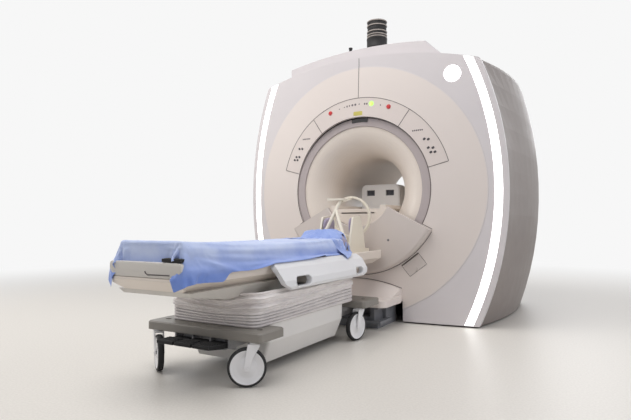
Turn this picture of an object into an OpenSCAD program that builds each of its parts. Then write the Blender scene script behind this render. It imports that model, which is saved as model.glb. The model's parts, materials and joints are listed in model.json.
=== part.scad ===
// MRI scanner: a magnet enclosure with its docked, height-adjustable patient table.
// The origin lies on the floor under the isocentre. +Z is up, +X is the right side
// seen from the table, and the table stands towards -Y.

/* [Enclosure] */
// Height of the bore axis above the floor
axis_h = 1060; // [1020:5:1100]
// Length from the bore ring to the rear face
cover_len = 1720; // [1660:10:1800]
// Half width of the front cover at the floor
floor_w = 943; // [920:1:960]
// Half width of the front cover at its waist
waist_w = 1160; // [1140:1:1180]
// Half width of the front cover at its top corners
corner_w = 965; // [940:1:985]
// Height of the waist
waist_h = 1150; // [1100:5:1200]
// Height of the top corners
corner_h = 2040; // [2020:5:2080]
// Rise of the front cover's top edge on the centre line above its corners
crown_rise = 126; // [110:1:150]
// Rounding of the outline's corners
corner_r = 36; // [20:1:60]
// Wall of every cover
cover_t = 12; // [8:1:16]
// Shadow gap between the covers and the floor
floor_gap = 12; // [8:1:20]
// Depth of the front cover behind the bore ring
front_depth = 120; // [110:1:150]
// Radius of the front cover's bow from side to side
bow_r = 6500; // [6000:50:8000]
// How far the bow stands before the bore ring at the centre
bow_lead = 10; // [5:1:20]
// Radius of the round dome on the front cover
dome_r = 1020; // [980:5:1030]
// Rise of the dome above the bow
dome_h = 30; // [20:1:36]
// Step at the dome's rim
dome_step = 3; // [2:0.5:5]
// Growth of the half width at the floor towards the middle
flare_floor = 107; // [90:1:120]
// Growth of the half width at the waist towards the middle
flare_waist = 72; // [60:1:90]
// Growth of the half width at the corners towards the middle
flare_corner = 120; // [100:1:130]
// Distance of the side seam behind the bore ring
side_seam = 850; // [800:10:900]
// Half width of the top cover
top_w = 750; // [720:5:780]
// Rise of the top cover's hump
hump_h = 128; // [110:1:140]
// Chamfer at the hump's right end
hump_chamfer = 210; // [160:5:240]
// Distance of the hump's crown beside the centre line
hump_shift = 60; // [0:5:80]
// Depth over which the rear edges are rounded
rear_round = 160; // [120:5:200]
// Length of the top cover
top_len = 1130; // [1100:10:1160]

/* [Light strips and lamps] */
// Margin between a light strip and the outline
strip_margin = 43; // [36:1:50]
// Width of a light strip
strip_w = 57; // [50:1:60]
// Depth of a light strip's groove
strip_depth = 8; // [5:0.5:9]
// Radius of the round lamp
lamp_r = 65; // [50:1:75]
// Distance of the round lamp from the centre line
lamp_x = 764; // [740:1:780]
// Distance of the round lamp below the top corners
lamp_drop = 103; // [90:1:140]

/* [Bore] */
// Radius of the patient bore
bore_r = 300; // [290:1:305]
// Inner radius of the bore ring
ring_in = 531; // [520:1:540]
// Outer radius of the bore ring
ring_out = 600; // [590:1:610]
// Thickness of the bore ring
ring_t = 12; // [8:1:16]
// Length of the front funnel
funnel_len = 320; // [300:5:340]
// Wall of the bore liner
liner_t = 8; // [6:0.5:10]
// Radius of the rear mouth
rear_mouth = 474; // [450:1:490]

/* [Magnet] */
// Outer radius of the cryostat
cryo_r = 880; // [840:5:890]
// Radius of the cryostat's warm bore
warm_r = 470; // [460:1:480]
// Length of the cryostat
cryo_len = 1300; // [1240:10:1340]
// Outer radius of the gradient coil
gradient_r = 455; // [440:1:458]
// Inner radius of the gradient coil
gradient_in = 345; // [340:1:350]
// Length of the gradient coil
gradient_len = 1200; // [1140:10:1240]
// Outer radius of the radio frequency coil
rf_r = 330; // [325:1:338]
// Length of the radio frequency coil
rf_len = 900; // [840:10:960]
// Distance between the anchor holes from side to side
anchor_x = 1360; // [1320:10:1380]
// Distance between the anchor holes from front to back
anchor_y = 840; // [800:10:880]
// Radius of an anchor hole
anchor_r = 9; // [7:0.5:11]
// Thickness of a magnet foot's base plate
foot_t = 25; // [20:1:32]

/* [Control panel] */
// Outer radius of the control panel
panel_r = 762; // [740:1:780]
// Angle at which the side panels end above the horizontal
panel_end = 15.5; // [12:0.5:20]
// Angle of the seams beside the centre panel
panel_seam = 55; // [50:0.5:60]
// Radius on which the stop buttons sit
stop_ring = 713; // [700:1:725]
// Angle of a stop button from the vertical
stop_angle = 21.7; // [18:0.1:26]
// Radius of a stop button
stop_r = 13; // [10:0.5:16]
// Travel of a stop button
stop_travel = 4; // [3:0.5:5]

/* [Dock] */
// Outer radius of the dock apron
apron_r = 690; // [670:1:700]
// Angle below the horizontal at which the apron starts
apron_angle = 28; // [24:0.5:32]
// Distance of the apron's face before the bore ring
apron_lead = 72; // [66:1:78]
// Thickness of the apron's shell
apron_t = 14; // [10:1:18]
// Half width of the dock's plate
dock_w = 390; // [370:1:400]
// Height of the dock's plate
dock_h = 222; // [210:1:226]
// Thickness of the dock's plate
dock_t = 50; // [40:1:55]
// Reach of the dock's plate before the bore ring
dock_reach = 425; // [400:5:435]
// Gap between the apron's rim and the top of the dock's hood
hood_gap = 36; // [24:1:50]

/* [Bridge] */
// Depth of the bridge's deck below the bore axis
deck_drop = 155; // [145:1:165]
// Height of the rails on the bridge
rail_h = 30; // [20:1:36]
// Half width between the rails
track_w = 196; // [190:1:204]
// Half width of the carriage
carriage_w = 186; // [170:1:188]
// Height of the carriage
carriage_h = 230; // [200:5:240]
// Length of the carriage
carriage_len = 160; // [140:5:200]
// Distance of the carriage behind the bore ring
carriage_y = 440; // [420:5:480]

/* [Vent duct] */
// Outer radius of the duct
duct_r = 87; // [80:1:95]
// Distance of the duct behind the bore ring
duct_y = 370; // [340:5:400]
// Height at which the duct ends
duct_top = 2590; // [2500:10:2700]
// Distance between the duct's rings
duct_pitch = 47; // [40:1:54]

/* [Table] */
// Distance of the cradle's head end before the bore ring
table_gap = 87; // [85:1:95]
// Length of the cradle
cradle_len = 2215; // [2150:5:2280]
// Height of the cradle's rim, lowered
cradle_h = 577; // [570:1:590]
// Height of the cradle's underside, lowered
cradle_low = 478; // [472:1:484]
// Half width of the cradle at its rim
cradle_w = 245; // [235:1:248]
// Depth of the cradle's trough
trough = 36; // [28:1:42]
// Lift of the table top
lift = 430; // [400:5:430]
// Height of the platforms' top
deck_h = 260; // [255:1:268]
// Thickness of the platforms
deck_t = 45; // [36:1:48]
// Half width of the platforms
deck_w = 375; // [365:1:385]
// Radius of a caster wheel
wheel_r = 95; // [90:1:98]
// Width of a caster wheel
wheel_w = 32; // [26:1:36]
// Trail of a caster
trail = 35; // [25:1:40]
// Distance of the casters from the centre line
caster_x = 320; // [310:1:330]
// Distance of the head casters before the bore ring
caster_head = 710; // [700:5:730]
// Distance of the foot casters before the bore ring
caster_foot = 1900; // [1880:5:1920]
// Half width of the skirt round the chassis
skirt_w = 278; // [270:1:285]
// Half width of the bellows
bellows_w = 285; // [275:1:295]
// Height of the bellows' upper end, lowered
bellows_top = 411; // [408:1:414]
// Number of tight pleats at the foot of the bellows
pleats = 6; // [4:1:8]

/* [Hidden] */

fit = 0.3;
seam = 0.8;
big_fn = 720;

front_y = -cover_len / 2;
rear_y = cover_len / 2;
cover_back = front_y + front_depth;
seam_y = front_y + side_seam;
bow_y = front_y - bow_lead;
crown_h = corner_h + crown_rise;
lamp_z = corner_h - lamp_drop;
hood_h = axis_h - apron_r - hood_gap;

cover_c = [0.80, 0.77, 0.74];
side_c = [0.62, 0.58, 0.54];
ring_c = [0.66, 0.61, 0.60];
white_c = [0.93, 0.93, 0.92];
cream_c = [0.90, 0.87, 0.80];
dark_c = [0.10, 0.10, 0.11];
steel_c = [0.62, 0.64, 0.66];

// Circle through three points: [centre x, centre z, radius]
function circle3(a, b, c) =
    let (d = 2 * (a[0] * (b[1] - c[1]) + b[0] * (c[1] - a[1]) + c[0] * (a[1] - b[1])),
         x = ((a * a) * (b[1] - c[1]) + (b * b) * (c[1] - a[1]) + (c * c) * (a[1] - b[1])) / d,
         z = ((a * a) * (c[0] - b[0]) + (b * b) * (a[0] - c[0]) + (c * c) * (b[0] - a[0])) / d)
    [x, z, norm([x - a[0], z - a[1]])];

// Points of a circle's right-hand side between two heights
function side_arc(c, z0, z1, n) =
    [for (i = [0:n]) let (z = z0 + (z1 - z0) * i / n) [c[0] + sqrt(c[2] * c[2] - pow(z - c[1], 2)), z]];

// Points of a circle's top between two places across
function top_arc(c, x0, x1, n) =
    [for (i = [0:n]) let (x = x0 + (x1 - x0) * i / n) [x, c[1] + sqrt(c[2] * c[2] - pow(x - c[0], 2))]];

function mirrored(points) = [for (i = [len(points) - 1:-1:0]) [-points[i][0], points[i][1]]];

// A station is [half width at the floor, the waist and the corners, corner height, crown height]
front_station = [floor_w, waist_w, corner_w, corner_h, crown_h];
station_ys = [cover_back, seam_y, seam_y + 260, rear_y];
stations = [
    front_station,
    front_station + [flare_floor, 0.85 * flare_waist, flare_corner, 22, 30],
    front_station + [flare_floor, flare_waist, flare_corner + 5, 12, 24],
    front_station + [42, -40, 20, -90, -86]];

function sum(v, i = 0) = i < len(v) - 1 ? v[i] + sum(v, i + 1) : v[i];
function product(v, i = 0) = i < len(v) ? v[i] * product(v, i + 1) : 1;

// Smooth curve through the stations, rounded off towards the rear face
function station_at(y, inset = 0) =
    let (t = max(0, (y - rear_y + rear_round) / rear_round),
         base = sum([for (i = [0:3]) stations[i] * product([for (j = [0:3]) if (j != i)
             (y - station_ys[j]) / (station_ys[i] - station_ys[j])])]))
    base - (inset + 0.65 * rear_round * (1 - sqrt(max(0, 1 - t * t)))) * [1, 1, 1, 1, 1];

function side_circle(s) = circle3([s[0], 0], [s[1], waist_h], [s[2], s[3]]);
function crown_circle(s) = circle3([-s[2], s[3]], [0, s[4]], [s[2], s[3]]);
edge_circle = side_circle(front_station);
edge_crown = crown_circle(front_station);

// Runs a profile drawn as (x, z) along Y
module along_y(y0, y1) {
    translate([0, y1, 0]) rotate([90, 0, 0]) linear_extrude(y1 - y0) children();
}

// Runs a profile drawn as (y, z) along X
module along_x(x0, x1) {
    translate([x0, 0, 0]) rotate([90, 0, 90]) linear_extrude(x1 - x0) children();
}

// Turns a profile drawn as (radius, y) about the bore axis between two angles from +X
module revolve(a0 = 0, a1 = 360) {
    translate([0, 0, axis_h]) rotate([-90, 0, 0]) rotate([0, 0, -a1])
        rotate_extrude(angle = a1 - a0, $fn = 180) children();
}

module block(low, high) {
    translate(low) cube(high - low);
}

module both_sides() {
    children();
    mirror([1, 0, 0]) children();
}

// Straight round bar between two points
module bar(p, q, r) {
    d = q - p;
    translate(p) rotate([0, acos(d[2] / norm(d)), atan2(d[1], d[0])]) cylinder(r = r, h = norm(d), $fn = 32);
}

// Outline of the enclosure at a station, in (x, z)
module outline(s, inset = 0, drop = 60) {
    side = side_arc(side_circle(s), -drop, s[3], 20);
    top = top_arc(crown_circle(s), s[2], -s[2], 16);
    offset(delta = -inset) offset(r = corner_r, $fn = 32) offset(delta = -corner_r)
        polygon(concat(side, [for (i = [1:len(top) - 2]) top[i]], mirrored(side)));
}

// Loop of points round the body at one place along Y
function body_loop(y, inset, bottom, n) =
    let (s = station_at(y, inset),
         c = 22 + 0.04 * (y - cover_back),
         side = side_arc(side_circle(s), bottom, s[3] - c, n),
         top = top_arc(crown_circle(s), s[2] - c, c - s[2], n),
         p = side[n],
         q = top[0],
         corner = [for (t = [0.2:0.2:0.8]) (1 - t) * (1 - t) * p + 2 * t * (1 - t) * [s[2] - 1, s[3] - 2] + t * t * q],
         right = concat(side, corner))
    [for (v = concat(right, top, mirrored(right))) [v[0], y, v[1]]];

// Solid through loops of points that run anticlockwise seen from the front
module loft(loops) {
    n = len(loops[0]);
    last = (len(loops) - 1) * n;
    polyhedron([for (l = loops) each l], concat(
        [[for (j = [n - 1:-1:0]) j], [for (j = [0:n - 1]) last + j]],
        [for (i = [0:len(loops) - 2], j = [0:n - 1]) let (p = i * n + j, q = i * n + (j + 1) % n)
            each [[p, q, p + n], [q, q + n, p + n]]]), convexity = 4);
}

// Body behind the front cover between two places along Y
module body_form(y0, y1, inset = 0, bottom = 0, n = 12) {
    end = min(y1, rear_y - inset);
    turn = min(end, rear_y - rear_round);
    ys = concat([for (i = [0:5]) y0 + (turn - y0) * i / 5],
        end > turn ? [for (a = [20:14:90]) turn + (end - turn) * sin(a)] : []);
    loft([for (y = ys) body_loop(y, inset, bottom, n)]);
}

dome_flat = 2 * dome_h / (dome_r * dome_r);
dome_plan_r = 1 / (1 / bow_r + dome_flat);
dome_side_r = 1 / dome_flat;
dome_crown = bow_y - dome_step - dome_h;

// Slightly domed surface, curved more from side to side than upwards
module dome_form(shift = 0) {
    half = dome_r + 10;
    translate([0, dome_crown + dome_plan_r + shift, axis_h]) rotate([0, 0, -112.5])
        rotate_extrude(angle = 45, $fn = big_fn)
            polygon(concat([[dome_plan_r - 300, half], [dome_plan_r - 300, -half]],
                [for (i = [-12:12]) let (z = half * i / 12)
                    [dome_plan_r - dome_side_r + sqrt(dome_side_r * dome_side_r - z * z), z]]));
}

// Bowed front with its round dome; shift moves the surface back, inset shrinks the outline
module front_form(shift = 0, inset = 0, reach = 0) {
    intersection() {
        along_y(front_y - 200, cover_back + reach) outline(front_station, inset);
        union() {
            translate([0, bow_y + bow_r + shift, -100]) cylinder(r = bow_r, h = crown_h + 200, $fn = big_fn);
            intersection() {
                dome_form(shift);
                revolve() translate([0, front_y - 200]) square([dome_r, front_depth + 200 + reach]);
            }
        }
    }
}

// Wall of the front cover before its cut-outs
module front_wall() {
    difference() {
        front_form();
        front_form(shift = cover_t, inset = cover_t, reach = 1);
    }
}

// Ring sector along Y with its radial sides on the given angles
module sector(r0, r1, a0, a1, y0, y1) {
    revolve(a0, a1) translate([r0, y0]) square([r1 - r0, y1 - y0]);
}

// Curved band of a light strip, in (x, z)
module strip_profile(gap = 0) {
    intersection() {
        difference() {
            translate([edge_circle[0], edge_circle[1]])
                circle(r = edge_circle[2] - strip_margin + gap, $fn = big_fn);
            translate([edge_circle[0], edge_circle[1]])
                circle(r = edge_circle[2] - strip_margin - strip_w - gap, $fn = big_fn);
        }
        outline(front_station, 5 - gap);
        translate([0, floor_gap + 5 - gap]) square([2 * waist_w, 2 * crown_h]);
    }
}

module strip_form(gap, proud, depth) {
    difference() {
        intersection() {
            along_y(front_y - 60, cover_back) strip_profile(gap);
            translate([0, bow_y + bow_r - proud, -100]) cylinder(r = bow_r, h = crown_h + 200, $fn = big_fn);
        }
        translate([0, bow_y + bow_r + depth, -101]) cylinder(r = bow_r, h = crown_h + 202, $fn = big_fn);
    }
}

flap_angle = -52;
flap_centre = 762;
flap_size = [100, 166];
flap_hinge = [46, 12.5];
// Room beside the hinge for the flap's edge as it swings
flap_swing = 7.5;

// Places something drawn about the flap's centre: X runs outwards, Y along the bore axis
module at_flap() {
    translate([0, front_y, axis_h]) rotate([0, -flap_angle, 0]) translate([flap_centre, 0, 0]) children();
}

module front_cover_half() {
    lamp_y = bow_y + bow_r - sqrt(bow_r * bow_r - lamp_x * lamp_x);
    color(cover_c) difference() {
        union() {
            intersection() {
                front_wall();
                block([seam / 2, front_y - 200, floor_gap], [2 * waist_w, rear_y, 2 * crown_h]);
            }
            // Tray behind the access flap
            at_flap() difference() {
                block([-flap_size[0] / 2 - flap_swing - 8, -15, -flap_size[1] / 2 - 8],
                    [flap_size[0] / 2 + 8, 45, flap_size[1] / 2 + 8]);
                translate([0, -front_y, 0]) rotate([0, flap_angle, 0])
                    translate([-cos(flap_angle) * flap_centre, 0, -axis_h - sin(flap_angle) * flap_centre])
                        difference() {
                            block([-waist_w, front_y - 300, 0], [waist_w, cover_back, crown_h]);
                            dome_form(cover_t / 2);
                        }
            }
        }
        at_flap() block([-flap_size[0] / 2 - flap_swing, -60, -flap_size[1] / 2], [flap_size[0] / 2, 37, flap_size[1] / 2]);
        sector(0, ring_out + seam, 0, 360, front_y - 100, cover_back + 10);
        sector(ring_out, panel_r + seam, panel_end - 0.1, 90, front_y - 100, cover_back + 10);
        block([-1, front_y - 100, 0], [dock_w - 20, cover_back + 10, dock_h - dock_t + fit]);
        strip_form(fit, 50, strip_depth);
        translate([lamp_x, lamp_y, lamp_z]) rotate([90, 0, 0]) cylinder(r = lamp_r + fit, h = 100, center = true, $fn = 96);
    }
}

module front_cover_right() {
    front_cover_half();
}

module front_cover_left() {
    lamp_y = bow_y + bow_r - sqrt(bow_r * bow_r - lamp_x * lamp_x);
    color(cover_c) difference() {
        union() {
            mirror([1, 0, 0]) intersection() {
                front_wall();
                block([seam / 2, front_y - 200, floor_gap], [2 * waist_w, rear_y, 2 * crown_h]);
            }
        }
        sector(0, ring_out + seam, 0, 360, front_y - 100, cover_back + 10);
        sector(ring_out, panel_r + seam, 90, 180.1 - panel_end, front_y - 100, cover_back + 10);
        block([20 - dock_w, front_y - 100, 0], [1, cover_back + 10, dock_h - dock_t + fit]);
        mirror([1, 0, 0]) strip_form(fit, 50, strip_depth);
    }
}

// Piece of the front wall between two angles, with a small gap all round
module panel(a0, a1) {
    gap = 0.05;
    color(cover_c) intersection() {
        front_wall();
        sector(ring_out + seam, panel_r, a0 + gap, a1 - gap, front_y - 100, cover_back);
    }
}

module stop_hole(side) {
    a = 90 - side * stop_angle;
    translate([stop_ring * cos(a), 0, axis_h + stop_ring * sin(a)]) rotate([90, 0, 0])
        cylinder(r = stop_r + 1, h = 4 * cover_len, center = true, $fn = 48);
}

lamp_angle = 80.7;

module control_panel_centre() {
    color(cover_c) difference() {
        panel(panel_seam, 180 - panel_seam);
        stop_hole(1);
        stop_hole(-1);
        translate([stop_ring * cos(lamp_angle), 0, axis_h + stop_ring * sin(lamp_angle)])
            rotate([90, 0, 0]) cylinder(r = 14 + fit, h = 4 * cover_len, center = true, $fn = 48);
    }
}

module control_panel_right() {
    panel(panel_end, panel_seam);
}

module control_panel_left() {
    panel(180 - panel_seam, 180 - panel_end);
}

// Depth of the domed surface at a place on the control panel
function dome_y(x, z) = dome_crown + x * x / 2 / dome_plan_r + z * z / 2 / dome_side_r;

module stop_button(side) {
    a = 90 - side * stop_angle;
    x = stop_ring * cos(a);
    z = stop_ring * sin(a);
    y = dome_y(x, z);
    color("crimson") translate([x, y, axis_h + z]) rotate([-90, 0, 0]) rotate_extrude($fn = 64)
        polygon([[0, -7], [stop_r - 3, -7], [stop_r - 1, -6], [stop_r, -4], [stop_r, 10],
            [stop_r - 5, 10], [stop_r - 5, 22], [0, 22]]);
}

module stop_button_right() {
    stop_button(1);
}

module stop_button_left() {
    stop_button(-1);
}

module indicator_lamp() {
    x = stop_ring * cos(lamp_angle);
    z = stop_ring * sin(lamp_angle);
    color([0.8, 0.95, 0.2]) translate([x, dome_y(x, z), axis_h + z]) rotate([-90, 0, 0])
        rotate_extrude($fn = 64) polygon([[0, -4], [8, -3], [12, -1], [14, 1], [14, 14], [0, 14]]);
}

module bore_ring() {
    color(ring_c) difference() {
        revolve() polygon([[ring_in, front_y + 4], [ring_in + 4, front_y], [ring_out - 4, front_y],
            [ring_out, front_y + 4], [ring_out, front_y + ring_t - fit], [ring_in, front_y + ring_t - fit]]);
        laser_pocket(fit);
    }
}

module laser_pocket(gap) {
    sector(ring_out - 34 - gap, ring_out + 1, 83 - gap / 10, 97 + gap / 10, front_y - 10, front_y + ring_t / 2 + gap);
}

module laser_window() {
    color(dark_c) sector(ring_out - 34, ring_out - 1, 83, 97, front_y - 6, front_y + ring_t / 2);
}

// Quarter-oval flare from a tube at y0 to a mouth at y1, in (radius, y)
function flare(r0, r1, y0, y1, n = 16) =
    [for (i = [0:n]) let (a = 90 * i / n) [r1 - (r1 - r0) * cos(a), y0 + (y1 - y0) * sin(a)]];

module front_funnel() {
    inner = flare(bore_r, ring_in - 1, front_y + funnel_len - fit, front_y + ring_t);
    outer = flare(bore_r + liner_t, ring_in + 12, front_y + funnel_len - fit, front_y + ring_t + liner_t);
    color(cream_c) revolve() polygon(concat(inner, [[ring_in + 12, front_y + ring_t]],
        [for (i = [len(outer) - 1:-1:0]) outer[i]]));
}

module bore_tube() {
    color(cream_c) revolve() translate([bore_r, front_y + funnel_len])
        square([liner_t, cover_len - 2 * funnel_len]);
}

module rear_funnel() {
    inner = flare(bore_r, rear_mouth, rear_y - funnel_len + fit, rear_y);
    outer = flare(bore_r + liner_t, rear_mouth + liner_t - 1, rear_y - funnel_len + fit, rear_y);
    color(cream_c) revolve() polygon(concat(inner, [for (i = [len(outer) - 1:-1:0]) outer[i]]));
}

module light_strip_right() {
    color("white") strip_form(0, 1.5, strip_depth - fit);
}

module light_strip_left() {
    mirror([1, 0, 0]) light_strip_right();
}

module round_lamp() {
    lamp_y = bow_y + bow_r - sqrt(bow_r * bow_r - lamp_x * lamp_x);
    color("white") translate([lamp_x, lamp_y, lamp_z]) rotate([0, 0, asin(lamp_x / bow_r)])
        rotate([-90, 0, 0]) rotate_extrude($fn = 96)
            polygon([[0, -7], [lamp_r * 0.6, -5.5], [lamp_r - 6, -3], [lamp_r - 1.2, 0], [lamp_r - 1.2, 18], [0, 18]]);
}

// Hollow body between two places along Y, open below
module shell(y0, y1) {
    difference() {
        body_form(y0, y1, bottom = floor_gap);
        body_form(y0 - 5, y1 < rear_y ? y1 + 5 : y1, inset = cover_t, bottom = -60, n = 7);
    }
}

top_end = cover_back + top_len;

module top_zone(gap = 0) {
    block([-top_w - gap, cover_back - 10, crown_h - 560], [top_w + gap, top_end + gap, 2 * crown_h]);
}

module side_cover_right() {
    color(side_c) difference() {
        intersection() {
            shell(cover_back + seam, seam_y - seam / 2);
            block([0, front_y, 0], [2 * waist_w, rear_y, 2 * crown_h]);
        }
        top_zone(seam / 2);
    }
}

module side_cover_left() {
    mirror([1, 0, 0]) side_cover_right();
}

module rear_cover_right() {
    color(side_c) difference() {
        intersection() {
            shell(seam_y + seam / 2, rear_y);
            block([seam / 2, front_y, 0], [2 * waist_w, 2 * rear_y, 2 * crown_h]);
        }
        top_zone(seam / 2);
        sector(0, rear_mouth + liner_t, 0, 360, 0, 2 * rear_y);
    }
}

module rear_cover_left() {
    mirror([1, 0, 0]) rear_cover_right();
}

// Section of the hump on the top cover, in (x, z)
module hump_profile(rise, inset) {
    c = edge_crown;
    half = top_w - 4 - inset;
    right = half - 16;
    top = top_arc([c[0] + hump_shift, c[1] + rise - inset, c[2]], right - hump_chamfer, -half, 14);
    foot = c[1] + sqrt(c[2] * c[2] - half * half) - 30;
    polygon(concat([[right, foot]], top, [[-half, foot]]));
}

module hump(inset = 0) {
    y0 = cover_back + seam;
    hull() {
        along_y(y0 + inset, y0 + inset + 1) hump_profile(hump_h - 8, inset);
        along_y(y0 + 24, y0 + 25) hump_profile(hump_h, inset);
        along_y(y0 + 760, y0 + 761) hump_profile(hump_h, inset);
        along_y(top_end - 40 - inset, top_end - 39 - inset) hump_profile(25, inset);
    }
}

duct_at = [0, front_y + duct_y];

module top_cover() {
    color(cover_c) difference() {
        union() {
            intersection() {
                body_form(cover_back + seam, top_end - seam / 2);
                block([-top_w + seam / 2, cover_back, crown_h - 560], [top_w - seam / 2, top_end, 2 * crown_h]);
            }
            hump();
        }
        body_form(cover_back - 5, top_end + 5, inset = cover_t, bottom = -60, n = 7);
        hump(cover_t);
        translate([duct_at[0], duct_at[1], 0]) cylinder(r = duct_r + 14 + fit, h = 2 * crown_h, $fn = 96);
    }
}

frame_y = front_y + ring_t;

// Carriers between the magnet and the covers
module cover_frame() {
    cryo_end = cryo_len / 2;
    post_r = ring_out - 28;
    rear_post = rear_mouth + 60;
    color(steel_c) {
        difference() {
            revolve() translate([ring_in + 12 + fit, frame_y]) square([ring_out - ring_in - 12 - 2 * fit, 16]);
            laser_pocket(2);
        }
        for (a = [30:60:330]) {
            translate([post_r * cos(a), 0, axis_h + post_r * sin(a)]) rotate([90, 0, 0])
                translate([0, 0, cryo_end + fit]) cylinder(r = 14, h = -frame_y - 16 - cryo_end - fit, $fn = 32);
        }
        revolve() translate([rear_mouth + liner_t + fit, rear_y - cover_t - fit - 16]) square([84, 16]);
        for (a = [30:60:330]) {
            translate([rear_post * cos(a), 0, axis_h + rear_post * sin(a)]) rotate([-90, 0, 0])
                translate([0, 0, cryo_end + fit])
                    cylinder(r = 14, h = rear_y - cover_t - fit - 16 - cryo_end - fit, $fn = 32);
        }
    }
}

neck_r = 70;

module cryostat() {
    half = cryo_len / 2;
    color(steel_c) {
        revolve() polygon([[warm_r, -half], [cryo_r - 60, -half], [cryo_r - 18, -half + 14],
            [cryo_r, -half + 56], [cryo_r, half - 56], [cryo_r - 18, half - 14], [cryo_r - 60, half],
            [warm_r, half]]);
        // Service neck under the vent duct
        difference() {
            translate([duct_at[0], duct_at[1], axis_h + cryo_r - 20])
                cylinder(r = neck_r, h = crown_h + 40 - axis_h - cryo_r + 20, $fn = 64);
            translate([duct_at[0], duct_at[1], axis_h + cryo_r + 20])
                cylinder(r = neck_r - 8, h = 2 * crown_h, $fn = 64);
        }
    }
}

module magnet_feet() {
    hole_edge = 50;
    plate = 260;
    outer = anchor_x / 2 + hole_edge;
    color(steel_c) for (sx = [-1, 1], sy = [-1, 1])
        translate([sx * (outer - plate / 2), sy * anchor_y / 2, 0]) difference() {
            union() {
                block([-plate / 2, -100, 0], [plate / 2, 100, foot_t]);
                block([-95, -65, foot_t], [45, 65, axis_h - warm_r - 60]);
            }
            translate([sx * (plate / 2 - hole_edge), 0, -1]) cylinder(r = anchor_r, h = foot_t + 2, $fn = 48);
            translate([-sx * (outer - plate / 2), -sy * anchor_y / 2, axis_h]) rotate([90, 0, 0])
                cylinder(r = cryo_r + fit, h = cryo_len - 100, center = true, $fn = 180);
        }
}

module gradient_coil() {
    half = gradient_len / 2;
    color("darkkhaki") revolve() polygon([[gradient_in, -half], [warm_r - fit, -half],
        [warm_r - fit, -half + 30], [gradient_r, -half + 30], [gradient_r, half - 30],
        [warm_r - fit, half - 30], [warm_r - fit, half], [gradient_in, half]]);
}

module rf_body_coil() {
    half = rf_len / 2;
    inner = bore_r + liner_t + fit;
    color("peru") revolve() polygon([[inner, -half], [gradient_in - fit, -half],
        [gradient_in - fit, -half + 30], [rf_r, -half + 30], [rf_r, half - 30],
        [gradient_in - fit, half - 30], [gradient_in - fit, half], [inner, half]]);
}

duct_base = crown_h + hump_h + 12;

// Corrugated vent hose, ringed at every pitch
module vent_duct() {
    n = floor((duct_top - duct_base) / duct_pitch);
    step = (duct_top - duct_base) / n;
    outer = [for (i = [0:n - 1], p = [[0, 0], [0.1, 0], [0.16, -5], [0.3, -3], [0.5, -2.4], [0.7, -3], [0.84, -5], [0.9, 0]])
        [duct_r + p[1], duct_base + step * (i + p[0])]];
    color(dark_c) translate([duct_at[0], duct_at[1], 0]) rotate_extrude($fn = 96)
        polygon(concat(outer, [[duct_r, duct_top], [duct_r - 9, duct_top], [duct_r - 9, duct_base]]));
}

cap_at = [-175, front_y + 190];

// Duct collar and the small cap beside it
module roof_fittings() {
    c = edge_crown;
    cap_r = 22;
    cap_z = c[1] + hump_h + sqrt(c[2] * c[2] - pow(abs(cap_at[0]) + hump_shift - cap_r, 2));
    color(dark_c) {
        translate([duct_at[0], duct_at[1], 0]) rotate_extrude($fn = 96)
            polygon([[duct_r - 9, duct_base - 50], [duct_r + 14, duct_base - 50], [duct_r + 14, duct_base + 20],
                [duct_r + 8, duct_base + 26], [duct_r + fit, duct_base + 26], [duct_r + fit, duct_base - fit],
                [duct_r - 9, duct_base - fit]]);
        translate([cap_at[0], cap_at[1], cap_z + fit]) rotate_extrude($fn = 48)
            polygon([[0, 0], [cap_r, 0], [cap_r, 10], [14, 16], [14, 30], [17, 34], [17, 44], [0, 48]]);
    }
}

deck_z = axis_h - deck_drop;

// Bridge through the bore: a hollow deck whose underside follows the liner
module bridge() {
    r = bore_r - fit;
    rail = 50;
    y0 = front_y - 45;
    y1 = rear_y - 5;
    color(cream_c) difference() {
        along_y(y0, y1) {
            intersection() {
                translate([0, axis_h]) circle(r = r, $fn = 180);
                translate([-r, axis_h - r]) square([2 * r, r - deck_drop]);
            }
            for (side = [-1, 1]) translate([side * (track_w + rail / 2) - rail / 2, deck_z - 1]) square([rail, rail_h + 1]);
        }
        // Hollow behind the front plate
        along_y(y0 + 8, y1 + 1) intersection() {
            translate([0, axis_h]) circle(r = r - 12, $fn = 180);
            translate([-r, axis_h - r]) square([2 * r, r - deck_drop - 14]);
        }
        // Slot across the front plate
        block([-150, y0 - 1, deck_z - 40], [150, y0 + 9, deck_z - 30]);
    }
}

apron_y = front_y - apron_lead;

// Fan-shaped shell under the bore
module dock_apron() {
    a0 = -180 + apron_angle;
    a1 = -apron_angle;
    in_r = bore_r + 3;
    back = front_y - fit;
    lean_z = 0.62 * apron_r;
    lean = asin(lean_z / dome_side_r);
    color(cover_c) difference() {
        union() {
            revolve(a0, a1) polygon(concat(
                [[in_r, apron_y + 4], [in_r + 4, apron_y]],
                [for (i = [0:6]) let (a = 90 * i / 6) [apron_r - 26 + 26 * sin(a), apron_y + 26 - 26 * cos(a)]],
                [[apron_r, back + 30], [apron_r - apron_t, back + 30], [apron_r - apron_t, apron_y + apron_t],
                 [in_r + apron_t, apron_y + apron_t], [in_r + apron_t, back], [in_r, back]]));
            // Side walls
            for (a = [a0 + 0.2, a1 - 1.7])
                sector(in_r + 5, apron_r - 8, a, a + 1.5, apron_y + 7, back - 2);
        }
        // The rim's back follows the dome, leaning with its slope below the axis
        translate([0, dome_crown + dome_plan_r / cos(lean) + lean_z * lean_z / 2 / dome_side_r - fit, axis_h - lean_z])
            rotate([lean, 0, 0]) cylinder(r = dome_plan_r, h = 2 * axis_h, center = true, $fn = big_fn);
    }
}

notch_w = dock_w - 20;

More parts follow.
